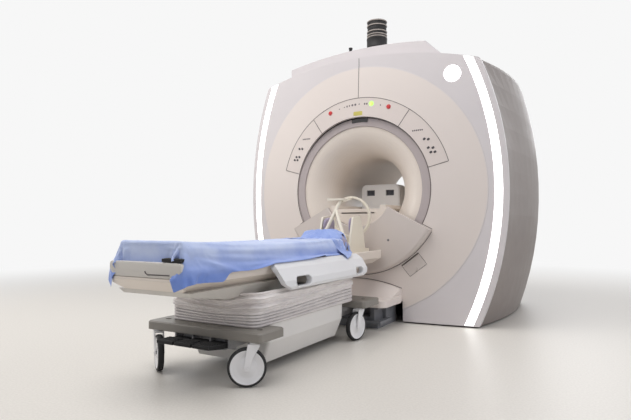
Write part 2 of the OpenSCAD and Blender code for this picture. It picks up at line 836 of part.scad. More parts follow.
// Hood and plate of the dock at the floor
module dock_housing() {
    top_r = circle3([-notch_w, hood_h - 67], [0, hood_h], [notch_w, hood_h - 67]);
    plate_front = front_y - dock_reach;
    low = dock_h - dock_t;
    color(cover_c) difference() {
        union() {
            hull() {
                along_y(front_y - 50, front_y - 8)
                    polygon(concat([[-notch_w + 4, low], [notch_w - 4, low]], top_arc(top_r, notch_w - 4, -notch_w + 4, 14)));
                along_y(front_y - 230, front_y - 229)
                    polygon([[-notch_w + 4, low], [notch_w - 4, low], [notch_w - 4, dock_h - 4], [-notch_w + 4, dock_h - 4]]);
            }
            translate([0, 0, low]) linear_extrude(dock_t) offset(r = 60, $fn = 64) offset(delta = -60)
                polygon([[-dock_w, plate_front], [dock_w, plate_front], [dock_w, front_y - 40],
                    [notch_w - 1, front_y - 40], [notch_w - 1, front_y + 40], [1 - notch_w, front_y + 40],
                    [1 - notch_w, front_y - 40], [-dock_w, front_y - 40]]);
        }
        intersection() {
            dome_form(-fit);
            block([-waist_w, front_y - 200, low - 1], [waist_w, rear_y, crown_h]);
        }
        // Hollow under the hood and plate
        block([-notch_w + 30, plate_front + 40, low - 20], [notch_w - 30, front_y - 30, dock_h - 14]);
    }
}

// Docking mechanism under the plate
module dock_base() {
    y0 = front_y - dock_reach + 110;
    y1 = front_y + 60;
    color(dark_c) difference() {
        block([-290, y0, 0], [290, y1, dock_h - dock_t - fit]);
        block([-230, y0 - 10, 84], [230, y0 + 120, dock_h]);
        both_sides() block([262, y0 - 1, 30], [300, y0 + 160, 140]);
    }
    color(steel_c) {
        block([-330, y0 - 46, 40], [330, y0 - fit, 62]);
        both_sides() block([298, y0 - fit, 40], [330, y0 + 180, 62]);
        both_sides() block([290 + fit, y0 + 60, 40], [299, y0 + 100, 62]);
    }
}

flap_t = 6;

// Hatch in the right half of the front cover, flush with the dome and hinged on its inner edge
module access_flap() {
    w = flap_size[0] / 2 - fit;
    h = flap_size[1] / 2 - fit;
    color(cover_c) {
        intersection() {
            difference() {
                dome_form();
                dome_form(flap_t);
            }
            at_flap() rotate([90, 0, 0]) linear_extrude(100, center = true)
                square([2 * w, 2 * h], center = true);
        }
        // Finger latch near the outer edge
        at_flap() translate([w - 16, 0, -5]) rotate([90, 0, 0]) cylinder(r = 8, h = 16, $fn = 32);
        // Hinge knuckles along the inner edge
        at_flap() for (side = [-1, 1]) translate([-flap_hinge[0], -flap_hinge[1], side * flap_size[1] / 3])
            cylinder(r = flap_size[0] / 2 - flap_hinge[0] - 0.5, h = 36, center = true, $fn = 48);
    }
}

carriage_at = front_y + carriage_y;

// Rounded outline of the carriage, in (x, z)
module carriage_profile(inset) {
    z = deck_z + fit;
    offset(delta = -inset) hull() {
        both_sides() translate([carriage_w - 50, z + carriage_h - 45]) circle(r = 45, $fn = 64);
        both_sides() translate([carriage_w - 8, z + 8]) circle(r = 8, $fn = 32);
    }
}

port_x = 92;
port_size = [78, 50];

module carriage() {
    color(white_c) difference() {
        union() {
            along_y(carriage_at, carriage_at + carriage_len) carriage_profile(0);
            along_y(carriage_at - 6, carriage_at) carriage_profile(8);
        }
        both_sides() translate([port_x, 0, deck_z + carriage_h - 75])
            block([-port_size[0] / 2, carriage_at - 7, -port_size[1] / 2],
                [port_size[0] / 2, carriage_at + 24, port_size[1] / 2]);
    }
}

module carriage_ports() {
    color([0.35, 0.33, 0.31]) both_sides() translate([port_x, carriage_at + 24 - fit, deck_z + carriage_h - 75]) {
        w = port_size[0] / 2 - fit;
        h = port_size[1] / 2 - fit;
        difference() {
            block([-w, -14, -h], [w, 0, h]);
            for (sx = [-1, 1]) translate([sx * 17, -8, 0]) block([-14, -10, -16], [14, 6, 16]);
        }
        for (sx = [-1, 1], i = [-1:1], j = [-1:1])
            translate([sx * 17 + i * 8, -8, j * 9]) rotate([-90, 0, 0]) cylinder(r = 2.2, h = 7, $fn = 16);
    }
}

// The table's own measures, all set from its head end
head_y = front_y - table_gap;
foot_y = head_y - cradle_len;
head_cast = front_y - caster_head;
foot_cast = front_y - caster_foot;
head_deck = [head_cast - 30, head_cast + 225];
foot_deck = [foot_cast - 30, foot_cast + 185];
deck_low = deck_h - deck_t;
column_y = (head_cast + foot_cast) / 2 + 10;
column_r = 80;

// Swivel place and wheel direction of each caster: [x sign, y, angle of the wheel's axle]
casters = [[-1, head_cast, 8], [1, head_cast, -12], [-1, foot_cast, 53], [1, foot_cast, -53]];
stem_r = 10;
axle_r = 6;

module caster_stems(gap) {
    for (c = casters) translate([c[0] * caster_x, c[1], deck_low - 10]) cylinder(r = stem_r + gap, h = 10 + 30 + gap, $fn = 48);
}

module platform(y0, y1, holes_y) {
    color([0.78, 0.76, 0.72]) difference() {
        hull() {
            translate([0, 0, deck_low]) linear_extrude(deck_t - 6) offset(r = 20, $fn = 32) offset(delta = -20)
                polygon([[-deck_w, y0], [deck_w, y0], [deck_w, y1], [-deck_w, y1]]);
            translate([0, 0, deck_h - 6]) linear_extrude(6) offset(r = 16, $fn = 32) offset(delta = -22)
                polygon([[-deck_w, y0], [deck_w, y0], [deck_w, y1], [-deck_w, y1]]);
        }
        caster_stems(0.05);
        both_sides() translate([deck_w - 68, holes_y, deck_h - 18]) cylinder(r = 16, h = 30, $fn = 48);
    }
}

module head_platform() {
    platform(head_deck[0], head_deck[1], head_cast + 95);
}

module foot_platform() {
    platform(foot_deck[0], foot_deck[1], foot_cast + 62);
}

pedal_axle = [foot_deck[0] + 24, deck_low - 34];
pedal_w = 104;
pedal_pitch = 118;

// Steel chassis under the platforms, with the outer tube of the lift
module table_base() {
    low = 150;
    color(steel_c) {
        difference() {
            union() {
                both_sides() block([72, foot_deck[0] + 40, low], [130, head_deck[1] - 20, deck_low - fit]);
                for (y = [foot_deck[0] + 70, foot_deck[1] - 30, column_y - 100, column_y + 60, head_deck[0] + 30, head_deck[1] - 60])
                    block([-130, y, low], [130, y + 40, deck_low - fit]);
                block([-130, column_y - 100, low - 70], [130, column_y + 100, low]);
                // Docking nose
                block([-60, head_deck[1] - 60, 95], [60, front_y - dock_reach + 230 - fit, low + 10]);
                translate([0, column_y, low - 70]) cylinder(r = column_r, h = bellows_top - 15 - low + 70, $fn = 96);
                // Lugs for the pedals
                for (i = [-1.5:1:1.5])
                    translate([i * pedal_pitch, 0, 0])
                        block([-5, pedal_axle[0] - 12, pedal_axle[1] - 14], [5, foot_deck[0] + 80, deck_low - fit]);
                block([-1.5 * pedal_pitch, foot_deck[0] + 70, low], [1.5 * pedal_pitch, foot_deck[0] + 80, deck_low - fit]);
            }
            translate([0, column_y, low - 60]) cylinder(r = column_r - 7, h = deck_h + bellows_top, $fn = 96);
        }
        translate([-1.5 * pedal_pitch - 8, pedal_axle[0], pedal_axle[1]]) rotate([0, 90, 0])
            cylinder(r = 6, h = 3 * pedal_pitch + 16, $fn = 32);
    }
}

// Foot pedal on the shaft, before the foot platform
module pedal(i) {
    y = pedal_axle[0];
    z = pedal_axle[1];
    x = i * pedal_pitch;
    color(dark_c) difference() {
        union() {
            along_x(x - pedal_w / 2, x + pedal_w / 2) offset(r = 5, $fn = 24) offset(delta = -5)
                polygon([[y - 150, z + 22], [y - 150, z + 4], [y - 60, z - 8], [y + 13, z - 13], [y + 13, z + 13], [y - 50, z + 14]]);
            for (k = [0:4]) block([x - pedal_w / 2 + 8, y - 140 + 16 * k, z + 10], [x + pedal_w / 2 - 8, y - 132 + 16 * k, z + 23]);
        }
        translate([x - pedal_w, y, z]) rotate([0, 90, 0]) cylinder(r = 6.05, h = 2 * pedal_w, $fn = 32);
    }
}

module pedal_left() {
    pedal(-1);
}

module pedal_middle() {
    pedal(0);
}

module pedal_right() {
    pedal(1);
}

// White fairing round the chassis, narrow at the head so that the casters swing clear
module base_skirt() {
    color(white_c) difference() {
        skirt_form(0);
        translate([0, 0, 5]) skirt_form(6);
        translate([0, 0, -5]) skirt_form(7);
        block([-131, foot_deck[0], 149], [131, head_deck[1], deck_low]);
        block([-deck_w, head_deck[0] - 1, deck_low - 1], [deck_w, head_deck[1], deck_h + 1]);
    }
}

module skirt_form(inset) {
    hull() {
        translate([0, 0, deck_h - 2]) linear_extrude(1) offset(delta = -inset) skirt_plan(0);
        translate([0, 0, 165]) linear_extrude(1) offset(delta = -inset) skirt_plan(4);
        translate([0, 0, 50]) linear_extrude(1) offset(delta = -inset) skirt_plan(52);
    }
}

module skirt_plan(taper) {
    y0 = foot_deck[1] + 1 + taper / 3;
    y1 = head_deck[0] - 140;
    y2 = head_deck[0] + 130 - taper;
    w = skirt_w - taper;
    nose = 150 - taper / 3;
    offset(r = 20, $fn = 24) offset(delta = -20)
        polygon([[-w, y0], [w, y0], [w, y1], [nose + 12, y1 + 120], [nose, y2], [-nose, y2],
            [-nose - 12, y1 + 120], [-w, y1]]);
}

// Fork leg seen along the axle: broad at the crown, round at the hub, in (y, z)
module fork_leg() {
    crown = wheel_r + 104;
    hull() {
        translate([-trail, wheel_r]) circle(r = 15, $fn = 48);
        translate([10 - trail, wheel_r + 50]) circle(r = 18, $fn = 32);
    }
    hull() {
        translate([10 - trail, wheel_r + 50]) circle(r = 18, $fn = 32);
        translate([-32, crown]) square([58, 8]);
    }
}

module fork(k) {
    c = casters[k];
    leg = wheel_w / 2 + 4;
    crown = wheel_r + 112;
    color(white_c) translate([c[0] * caster_x, c[1], 0]) rotate([0, 0, c[2]]) {
        for (x = [-leg - 6, leg]) along_x(x, x + 6) fork_leg();
        block([-leg - 6, -32, crown - 10], [leg + 6, 26, crown]);
        translate([0, 0, crown]) cylinder(r = 24, h = deck_low - fit - crown, $fn = 64);
        translate([0, 0, crown]) cylinder(r = stem_r, h = deck_low + 28 - crown, $fn = 48);
        translate([-leg - 8, -trail, wheel_r]) rotate([0, 90, 0]) cylinder(r = axle_r, h = 2 * leg + 16, $fn = 32);
    }
}

module fork_head_left() {
    fork(0);
}

module fork_head_right() {
    fork(1);
}

module fork_foot_left() {
    fork(2);
}

module fork_foot_right() {
    fork(3);
}

// Wheel: tyre, dished disc and hub, turned about its axle
module wheel(k) {
    c = casters[k];
    w = wheel_w / 2;
    color(white_c) translate([c[0] * caster_x, c[1], 0]) rotate([0, 0, c[2]])
        translate([0, -trail, wheel_r]) rotate([0, 90, 0]) rotate_extrude($fn = 120)
            polygon([[axle_r + 0.05, -w], [20, -w], [22, 4 - w], [70, 6 - w], [wheel_r - 13, 1 - w], [wheel_r - 10, -w],
                [wheel_r - 3, 4 - w], [wheel_r, -5], [wheel_r, 5], [wheel_r - 3, w - 4], [wheel_r - 10, w],
                [wheel_r - 13, w - 1], [70, w - 6], [22, w - 4], [20, w], [axle_r + 0.05, w]]);
}

module wheel_head_left() {
    wheel(0);
}

module wheel_head_right() {
    wheel(1);
}

module wheel_foot_left() {
    wheel(2);
}

module wheel_foot_right() {
    wheel(3);
}

// Middle tube of the telescopic lift
module lift_stage() {
    r = column_r - 7 - fit;
    color(steel_c) translate([0, column_y, 92]) difference() {
        cylinder(r = r, h = bellows_top - 12 - 92, $fn = 96);
        translate([0, 0, -1]) cylinder(r = r - 7, h = bellows_top, $fn = 96);
    }
}

rail_span = [front_y - 1680, front_y - 615];
rail_face = 308;

// Top frame with the inner tube of the lift
module table_frame() {
    z0 = bellows_top + 1;
    z1 = cradle_low - fit;
    color([0.80, 0.79, 0.77]) {
        intersection() {
            along_x(-300, 300) polygon([[foot_y + 60, z1], [foot_y + 75, z1 - 22], [foot_y + 330, z0 + 6],
                [foot_y + 360, z0], [head_y - 640, z0], [head_y - 560, z0 + 10], [head_y - 330, z1]]);
            along_y(foot_y, head_y) polygon([[-175, z0 - 1], [175, z0 - 1], [228, z1], [-228, z1]]);
        }
        // Flange over the bellows
        translate([0, (bellows_foot + bellows_head) / 2, z0]) linear_extrude(4) offset(r = 40, $fn = 64) offset(delta = -40)
            square([2 * bellows_w - 4, bellows_head - bellows_foot], center = true);
        for (y = [rail_span[0] + 330, rail_span[1] - 420])
            block([-rail_face + fit, y, z0 + 30], [rail_face - fit, y + 100, z1]);
        translate([0, column_y, 100]) difference() {
            cylinder(r = column_r - 14 - 2 * fit, h = z0 - 99, $fn = 96);
            translate([0, 0, -1]) cylinder(r = column_r - 22, h = z0 - 110, $fn = 96);
        }
    }
}

// Fairing beside the cradle, with two hand holes
module side_rail() {
    x = rail_face;
    z = cradle_low;
    y0 = rail_span[0];
    y1 = rail_span[1];
    color(white_c) difference() {
        intersection() {
            along_y(y0, y1) offset(r = 4, $fn = 24) offset(delta = -4)
                polygon([[254, z + 94], [263, z + 98], [300, z + 66], [338, z + 4], [342, z - 30], [334, z - 48],
                    [x + 2, z - 50], [x, z - 40], [x, z], [288, z + 36], [252, z + 76]]);
            along_x(0, 400) offset(r = 40, $fn = 48) offset(delta = -40)
                polygon([[y0, z + 84], [y0 + 20, z - 10], [y0 + 110, z - 52], [y1 - 60, z - 54], [y1, z - 20],
                    [y1, z + 100], [y0 - 1, z + 100]]);
        }
        // Hand holes: [middle, half length, half height]
        for (hole = [[y0 + 215, 80, 25], [y1 - 125, 55, 22]]) along_x(250, 400) hull()
            for (side = [-1, 1]) translate([hole[0] + side * (hole[1] - hole[2]), z - 8]) circle(r = hole[2], $fn = 48);
    }
}

module side_rail_right() {
    side_rail();
}

module side_rail_left() {
    mirror([1, 0, 0]) side_rail();
}

// Cradle: a trough with raked ends
module cradle() {
    floor_z = cradle_h - trough;
    w = cradle_w;
    color(cream_c) intersection() {
        along_y(foot_y, head_y) polygon([[-185, cradle_low], [185, cradle_low], [w - 8, cradle_low + 40],
            [w, cradle_h - 6], [w - 3, cradle_h], [w - 14, cradle_h], [w - 42, floor_z], [42 - w, floor_z],
            [14 - w, cradle_h], [3 - w, cradle_h], [-w, cradle_h - 6], [8 - w, cradle_low + 40]]);
        along_x(-w - 1, w + 1) polygon([[foot_y, cradle_h + 1], [foot_y, cradle_low + 50], [foot_y + 60, cradle_low - 1],
            [head_y - 90, cradle_low - 1], [head_y - 10, cradle_h - 50], [head_y, cradle_h - 30], [head_y, cradle_h + 1]]);
        translate([0, (foot_y + head_y) / 2, 0]) linear_extrude(2 * cradle_h) offset(r = 70, $fn = 64) offset(delta = -70)
            square([2 * w + 2, cradle_len], center = true);
    }
}

pad_head = head_y - 660;
pad_foot = foot_y + 45;

// Top of the mattress along the table: a soft wave, raised at the foot and the shoulders
function pad_top(y) =
    let (t = (y - pad_foot) / (pad_head - pad_foot))
    cradle_h + 74 + 48 * pow(1 - t, 3) + 22 * pow(sin(t * 120), 2) * t;

module mattress() {
    n = 24;
    z = cradle_h - trough + fit;
    color([0.55, 0.58, 0.66]) intersection() {
        along_x(-230, 230) polygon(concat([[pad_head, z], [pad_foot, z]],
            [for (i = [0:n]) let (y = pad_foot + (pad_head - pad_foot) * i / n) [y, pad_top(y)]]));
        along_y(pad_foot, pad_head) offset(r = 20, $fn = 32) offset(delta = -20)
            polygon([[-198, z], [198, z], [222, z + 40], [218, z + 80], [186, z + 165], [-186, z + 165],
                [-218, z + 80], [-222, z + 40]]);
    }
}

sheet_t = 4;

// Half section of the sheet at one place along the table: [x, z] from the centre to the hem
function sheet_row(y) =
    let (zt = pad_top(min(max(y, pad_foot), pad_head)) + 1,
         hem = cradle_low + 42 + 5 * sin(y / 3) + (y < foot_y + 300 ? 8 * sin(y / 2) : 0),
         swell = 5 * sin(y / 2.1))
    [[0, zt + 5], [90, zt + 5], [170, zt + 5], [218, zt + 3], [247, zt - 16], [270, cradle_h + 12],
     [292 + swell / 2, cradle_h - 10], [315 + swell / 2, cradle_h - 34], [329 + swell, hem]];

// Loop of points over the sheet's outer or inner face at one place along the table
function sheet_loop(y, inner, drop = 0) =
    let (h = sheet_row(y), d = inner ? sheet_t : 0, half = len(h))
    [for (j = [0:2 * half - 2])
        let (k = abs(j - half + 1), s = j < half - 1 ? -1 : 1, z = h[k][1])
        drop > 0 ? [s * (h[k][0] - (k < 4 ? 0 : d)), y - sheet_t + d, min(z, drop + 4 * k)]
            : [s * (h[k][0] - (k < 4 ? 0 : d)), y, z - (k < 4 ? d : 0)]];

// Draped sheet, swept row by row along the table, with a flap down the foot end
module sheet() {
    y0 = pad_foot - 12;
    y1 = pad_head + 14;
    n = 26;
    cols = 2 * len(sheet_row(0)) - 1;
    ys = [for (i = [0:n]) y0 + (y1 - y0) * i / n];
    m = n + 2;
    points = concat(sheet_loop(y0, false, cradle_h + 28), [for (y = ys) each sheet_loop(y, false)],
        sheet_loop(y0, true, cradle_h + 28), [for (y = ys) each sheet_loop(y, true)]);
    b = m * cols;
    last = (m - 1) * cols;
    function quad(p, q, r, t) = [[p, q, r], [q, t, r]];
    faces = concat(
        [for (i = [0:m - 2], j = [0:cols - 2]) let (p = i * cols + j) each quad(p, p + cols, p + 1, p + cols + 1)],
        [for (i = [0:m - 2], j = [0:cols - 2]) let (p = b + i * cols + j) each quad(p, p + 1, p + cols, p + cols + 1)],
        [for (j = [0:cols - 2]) each quad(j, j + 1, b + j, b + j + 1)],
        [for (j = [0:cols - 2]) let (p = last + j) each quad(p, b + p, p + 1, b + p + 1)],
        [for (i = [0:m - 2]) let (p = i * cols) each quad(p, b + p, p + cols, b + p + cols)],
        [for (i = [0:m - 2]) let (p = i * cols + cols - 1) each quad(p, p + cols, b + p, b + p + cols)]);
    color([0.66, 0.76, 0.94]) polyhedron(points, faces, convexity = 6);
}

coil_y = head_y - 75;
coil_floor = cradle_h - trough + fit;
hoop_z = coil_floor + 294;

cheek_x = 122;
cheek_t = 16;
cheek_y = [coil_y - 290, coil_y - 70];

// Head coil: tray with two cheeks, hoop and the arms that carry its mirror
module head_coil() {
    z = coil_floor;
    arm_y = coil_y - 330;
    color(cream_c) {
        difference() {
            union() {
                block([-140, coil_y - 400, z], [140, coil_y + 26, z + 50]);
                block([-60, coil_y - 16, z + 40], [60, coil_y + 16, z + 140]);
                both_sides() along_x(cheek_x, cheek_x + cheek_t) offset(r = 24, $fn = 48) offset(delta = -24)
                    polygon([[cheek_y[0] - 30, z], [cheek_y[1] + 40, z], [cheek_y[1], z + 180], [cheek_y[1] - 60, z + 305],
                        [cheek_y[0] + 40, z + 290], [cheek_y[0], z + 160]]);
            }
            translate([0, coil_y - 420, z + 170]) rotate([-90, 0, 0]) cylinder(r = cheek_x, h = 380, $fn = 96);
            translate([0, coil_y, hoop_z]) rotate([90, 0, 0]) cylinder(r = 160, h = 60, center = true, $fn = 96);
        }
        translate([0, coil_y, hoop_z]) rotate([90, 0, 0]) rotate_extrude($fn = 96)
            polygon([[148, -11], [152, -14], [163, -14], [166, -11], [166, 11], [163, 14], [152, 14], [148, 11]]);
        both_sides() bar([120, arm_y, z + 40], [120, arm_y, z + 80], 16);
        bar([-120, arm_y, z + 70], [0, coil_y - 190, z + 420], 13);
        bar([120, arm_y, z + 70], [-26, coil_y - 220, z + 350], 12);
        block([-105, coil_y - 215, z + 420], [35, coil_y - 165, z + 436]);
        bar([0, coil_y - 190, z + 410], [0, coil_y - 2, hoop_z + 150], 10);
    }
}

// Side pads on the cheeks of the head coil
module head_pads() {
    z = coil_floor + 185;
    edge = cheek_x - fit;
    color([0.66, 0.62, 0.70]) both_sides() hull() {
        for (y = [cheek_y[0] + 50, cheek_y[1] - 50], dz = [0, 75]) {
            translate([edge - 12, y, z + dz]) rotate([0, 90, 0]) cylinder(r = 34, h = 12, $fn = 24);
            translate([edge - 30, y, z + dz]) sphere(r = 16, $fn = 16);
        }
    }
}

bellows_foot = foot_deck[0] + 90;
bellows_head = head_deck[0] + 20;

// Loop of points round the bellows, grown by a bulge
function bellows_loop(grow, z, n = 8) =
    let (w = bellows_w + grow, y0 = bellows_foot - grow, y1 = bellows_head + grow, r = 40)
    [for (q = [0:3], i = [0:n - 1])
        let (a = 90 * (q + i / (n - 1)), cx = (q == 0 || q == 3) ? w - r : r - w, cy = q < 2 ? y1 - r : y0 + r)
        [cx + r * cos(a), cy + r * sin(a), z]];

// Folded bellows: tight pleats at the foot and wide soft folds above, as [height share, growth]
bellows_folds = concat([[0, -2]],
    [for (i = [0:pleats - 1]) each [[(i + 0.5) / (pleats * 2.6), 6], [(i + 1) / (pleats * 2.6), -4]]],
    [[0.48, 9], [0.56, 8], [0.62, 0], [0.72, 12], [0.80, 10], [0.86, 2], [0.94, 9], [1, 0]]);

module bellows() {
    z0 = deck_h + fit;
    h = bellows_top - z0;
    t = 5;
    rows = len(bellows_folds);
    outer = [for (f = bellows_folds) each bellows_loop(f[1], z0 + h * f[0])];
    inner = [for (f = bellows_folds) each bellows_loop(f[1] - t, z0 + h * f[0])];
    n = len(outer) / rows;
    b = rows * n;
    points = concat(outer, inner);
    faces = concat(
        [for (i = [0:rows - 2], j = [0:n - 1]) let (p = i * n + j, q = i * n + (j + 1) % n)
            each [[p, p + n, q], [q, p + n, q + n]]],
        [for (i = [0:rows - 2], j = [0:n - 1]) let (p = b + i * n + j, q = b + i * n + (j + 1) % n)
            each [[p, q, p + n], [q, q + n, p + n]]],
        [for (j = [0:n - 1]) let (q = (j + 1) % n) each [[j, q, b + j], [q, b + q, b + j]]],
        [for (j = [0:n - 1]) let (p = b - n + j, q = b - n + (j + 1) % n) each [[p, b + p, q], [q, b + p, b + q]]]);
    color([0.68, 0.66, 0.68]) polyhedron(points, faces, convexity = 8);
}

front_cover_left();
front_cover_right();
control_panel_centre();
control_panel_left();
control_panel_right();
bore_ring();
front_funnel();
bore_tube();
rear_funnel();
light_strip_left();
light_strip_right();
round_lamp();
laser_window();
indicator_lamp();
side_cover_left();
side_cover_right();
rear_cover_left();
rear_cover_right();
top_cover();
cover_frame();
cryostat();
magnet_feet();
gradient_coil();
rf_body_coil();
vent_duct();
roof_fittings();
bridge();
dock_apron();
dock_housing();
dock_base();
stop_button_left();
stop_button_right();
access_flap();
carriage();
carriage_ports();
table_base();
base_skirt();
head_platform();
foot_platform();
pedal_left();
pedal_middle();
pedal_right();
fork_head_left();
fork_head_right();
fork_foot_left();
fork_foot_right();
wheel_head_left();
wheel_head_right();
wheel_foot_left();
wheel_foot_right();
lift_stage();
table_frame();
side_rail_left();
side_rail_right();
cradle();
mattress();
sheet();
head_coil();
head_pads();
bellows();
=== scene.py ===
"""Looks of an MRI scanner with its docked patient table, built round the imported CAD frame.

Metres, +Z up, the scanner's front faces -Y. The bore's axis is at x = 0, z = AXIS.
"""

import json
import math

import bpy
import numpy as np
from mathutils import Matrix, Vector, noise
from mathutils.bvhtree import BVHTree


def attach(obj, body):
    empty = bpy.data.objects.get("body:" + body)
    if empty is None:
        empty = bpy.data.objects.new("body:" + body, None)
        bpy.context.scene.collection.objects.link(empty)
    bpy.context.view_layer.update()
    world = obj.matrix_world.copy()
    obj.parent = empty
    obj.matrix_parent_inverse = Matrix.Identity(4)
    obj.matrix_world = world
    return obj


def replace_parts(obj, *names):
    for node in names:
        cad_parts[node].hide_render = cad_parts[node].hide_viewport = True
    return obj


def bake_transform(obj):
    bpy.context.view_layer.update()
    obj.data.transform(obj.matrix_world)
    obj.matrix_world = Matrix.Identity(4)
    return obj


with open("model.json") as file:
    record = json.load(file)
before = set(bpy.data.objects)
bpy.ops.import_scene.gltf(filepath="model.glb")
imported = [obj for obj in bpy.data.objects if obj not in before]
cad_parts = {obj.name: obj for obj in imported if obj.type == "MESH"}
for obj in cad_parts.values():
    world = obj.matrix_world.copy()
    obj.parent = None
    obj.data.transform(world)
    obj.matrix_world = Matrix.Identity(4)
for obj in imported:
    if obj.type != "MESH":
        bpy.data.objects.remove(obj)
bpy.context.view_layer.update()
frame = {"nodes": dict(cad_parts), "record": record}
nodes = frame["nodes"]

# Main sizes, in metres
AXIS = 1.06                             # height of the bore's axis
BUTTON_R = 0.713                        # circle of the stop buttons and the green lamp
MARKS_R = 0.711                         # circle of the bare marks
HATCH_R, HATCH_ANGLE = 0.762, -52       # middle of the hatch, about the bore's axis
BEFORE, BEHIND = -1.6, 1.6              # rays at the front and at the rear start here
SEAM = 0.0021                           # half thickness of a shadow line
DUCT_Y, SLEEVE_FOOT = -0.49, 2.334
CRADLE_TOP = 0.577                      # rim of the cradle
CAP_FACE = -3.1605                      # foot face of the cap on the cradle
PAD_FOOT, PAD_HEAD = -3.117, -1.607     # ends of the mattress
PAD_HALF = 0.2205                       # half width of the mattress
DECK_TOP = 0.260                        # top of the table's decks
BELLOWS_TOP = 0.411
HAND_HOLE_Z = 0.470
HAND_HOLES = ((-2.325, 0.080, 0.025), (-1.600, 0.055, 0.022))   # middle y, half length, half height
CASTERS = {                             # swivel x, swivel y, angle in degrees
    "head_left": (-0.32, -1.570, 8), "head_right": (0.32, -1.570, -12),
    "foot_left": (-0.32, -2.760, 53), "foot_right": (0.32, -2.760, -53),
}
TRAIL, WHEEL_R = 0.035, 0.095           # of each caster's wheel


# ---------------------------------------------------------------- materials

def colour(r, g, b):
    """Linear colour from the 0-255 value that shows on a screen."""
    return tuple(((c / 255) / 12.92 if c < 10.3 else ((c / 255 + 0.055) / 1.055) ** 2.4) for c in (r, g, b))


def mixed(a, b, t):
    return tuple(x + (y - x) * t for x, y in zip(a, b))


def maths(tree, operation, a, b):
    """Result of a Math node on two sockets or numbers."""
    made = tree.nodes.new("ShaderNodeMath")
    made.operation = operation
    for index, value in enumerate((a, b)):
        if isinstance(value, bpy.types.NodeSocket):
            tree.links.new(value, made.inputs[index])
        else:
            made.inputs[index].default_value = value
    return made.outputs[0]


class Shader:
    """A small builder for one material's nodes, with object coordinates throughout."""

    def __init__(self, name, rough=0.5, metallic=0.0, coat=0.0, sheen=0.0, specular=0.5):
        self.material = bpy.data.materials.new(name)
        self.material.use_nodes = True
        self.tree = self.material.node_tree
        self.shader = self.tree.nodes["Principled BSDF"]
        self.set("Roughness", rough)
        self.set("Metallic", metallic)
        self.set("Coat Weight", coat)
        self.set("Sheen Weight", sheen)
        self.set("Specular IOR Level", specular)
        self.where = self.tree.nodes.new("ShaderNodeTexCoord").outputs["Object"]

    def set(self, socket, value):
        self.shader.inputs[socket].default_value = value

    def node(self, kind, **inputs):
        made = self.tree.nodes.new(kind)
        for key, value in inputs.items():
            socket = made.inputs[key.replace("_", " ")]
            if isinstance(value, bpy.types.NodeSocket):
                self.tree.links.new(value, socket)
            else:
                socket.default_value = value
        return made

    def noise(self, scale, detail=3, stretch=None):
        where = self.where
        if stretch:
            where = self.node("ShaderNodeMapping", Vector=where, Scale=stretch).outputs[0]
        return self.node("ShaderNodeTexNoise", Vector=where, Scale=scale, Detail=detail,
                         Roughness=0.55).outputs["Fac"]

    def ramp(self, value, stops):
        made = self.node("ShaderNodeValToRGB", Fac=value)
        elements = made.color_ramp.elements
        while len(elements) < len(stops):
            elements.new(0.5)
        for element, (at, shade) in zip(elements, stops):
            element.position = at
            element.color = (*shade, 1.0)
        return made.outputs["Color"]

    def mix(self, factor, a, b):
        made = self.tree.nodes.new("ShaderNodeMix")
        made.data_type = "RGBA"
        for index, value in ((0, factor), (6, a), (7, b)):
            if isinstance(value, bpy.types.NodeSocket):
                self.tree.links.new(value, made.inputs[index])
            elif index == 0:
                made.inputs[0].default_value = value
            else:
                made.inputs[index].default_value = (*value, 1.0)
        return made.outputs[2]

    def link(self, value, socket):
        self.tree.links.new(value, self.shader.inputs[socket])

    def paint(self, base, vary=0.05, scale=2.5, detail=4):
        """Base colour with soft large patches a little lighter and darker."""
        dark = tuple(c * (1 - vary) for c in base)
        light = tuple(min(c * (1 + vary), 1.0) for c in base)
        self.base = self.ramp(self.noise(scale, detail), [(0.3, dark), (0.7, light)])
        self.link(self.base, "Base Color")
        return self

    def relief(self, heights, bevel=0.0015):
        """Bump from (value, distance in metres, strength) in turn, over softened edges."""
        normal = self.node("ShaderNodeBevel", Radius=bevel).outputs[0] if bevel else None
        for value, distance, strength in heights:
            bump = self.node("ShaderNodeBump", Height=value, Distance=distance, Strength=strength)
            if normal is not None:
                self.tree.links.new(normal, bump.inputs["Normal"])
            normal = bump.outputs[0]
        if normal is not None:
            self.link(normal, "Normal")
        return self

    def uneven_gloss(self, low, high, scale=30):
        value = self.node("ShaderNodeMapRange", Value=self.noise(scale, 5), To_Min=low, To_Max=high).outputs[0]
        self.link(value, "Roughness")
        return self

    def painted_dome_light(self, lit_tone):
        """Painted light: a lighter, warmer tone inside the dome's rim, told by the distance from the bore's
        axis.
        """
        parts = self.node("ShaderNodeSeparateXYZ", Vector=self.where)
        across, up = parts.outputs["X"], maths(self.tree, "SUBTRACT", parts.outputs["Z"], AXIS)
        squares = [maths(self.tree, "MULTIPLY", off, off) for off in (across, up)]
        inside = self.node("ShaderNodeMapRange", Value=maths(self.tree, "ADD", *squares), From_Min=1.045,
                           From_Max=1.020, To_Min=0.0, To_Max=1.0).outputs[0]
        self.base = self.mix(inside, self.base, lit_tone)
        self.link(self.base, "Base Color")
        return self

    def worn(self, shade, radius=0.004, amount=0.7):
        """Edges take another shade: rubbed paint on corners."""
        bevel = self.node("ShaderNodeBevel", Radius=radius).outputs[0]
        facing = self.node("ShaderNodeNewGeometry").outputs["Normal"]
        dot = self.tree.nodes.new("ShaderNodeVectorMath")
        dot.operation = "DOT_PRODUCT"
        self.tree.links.new(bevel, dot.inputs[0])
        self.tree.links.new(facing, dot.inputs[1])
        edge = self.node("ShaderNodeMapRange", Value=dot.outputs["Value"], From_Min=0.995, From_Max=0.93,
                         To_Min=0.0, To_Max=amount).outputs[0]
        self.base = self.mix(edge, self.base, shade)
        self.link(self.base, "Base Color")
        return self


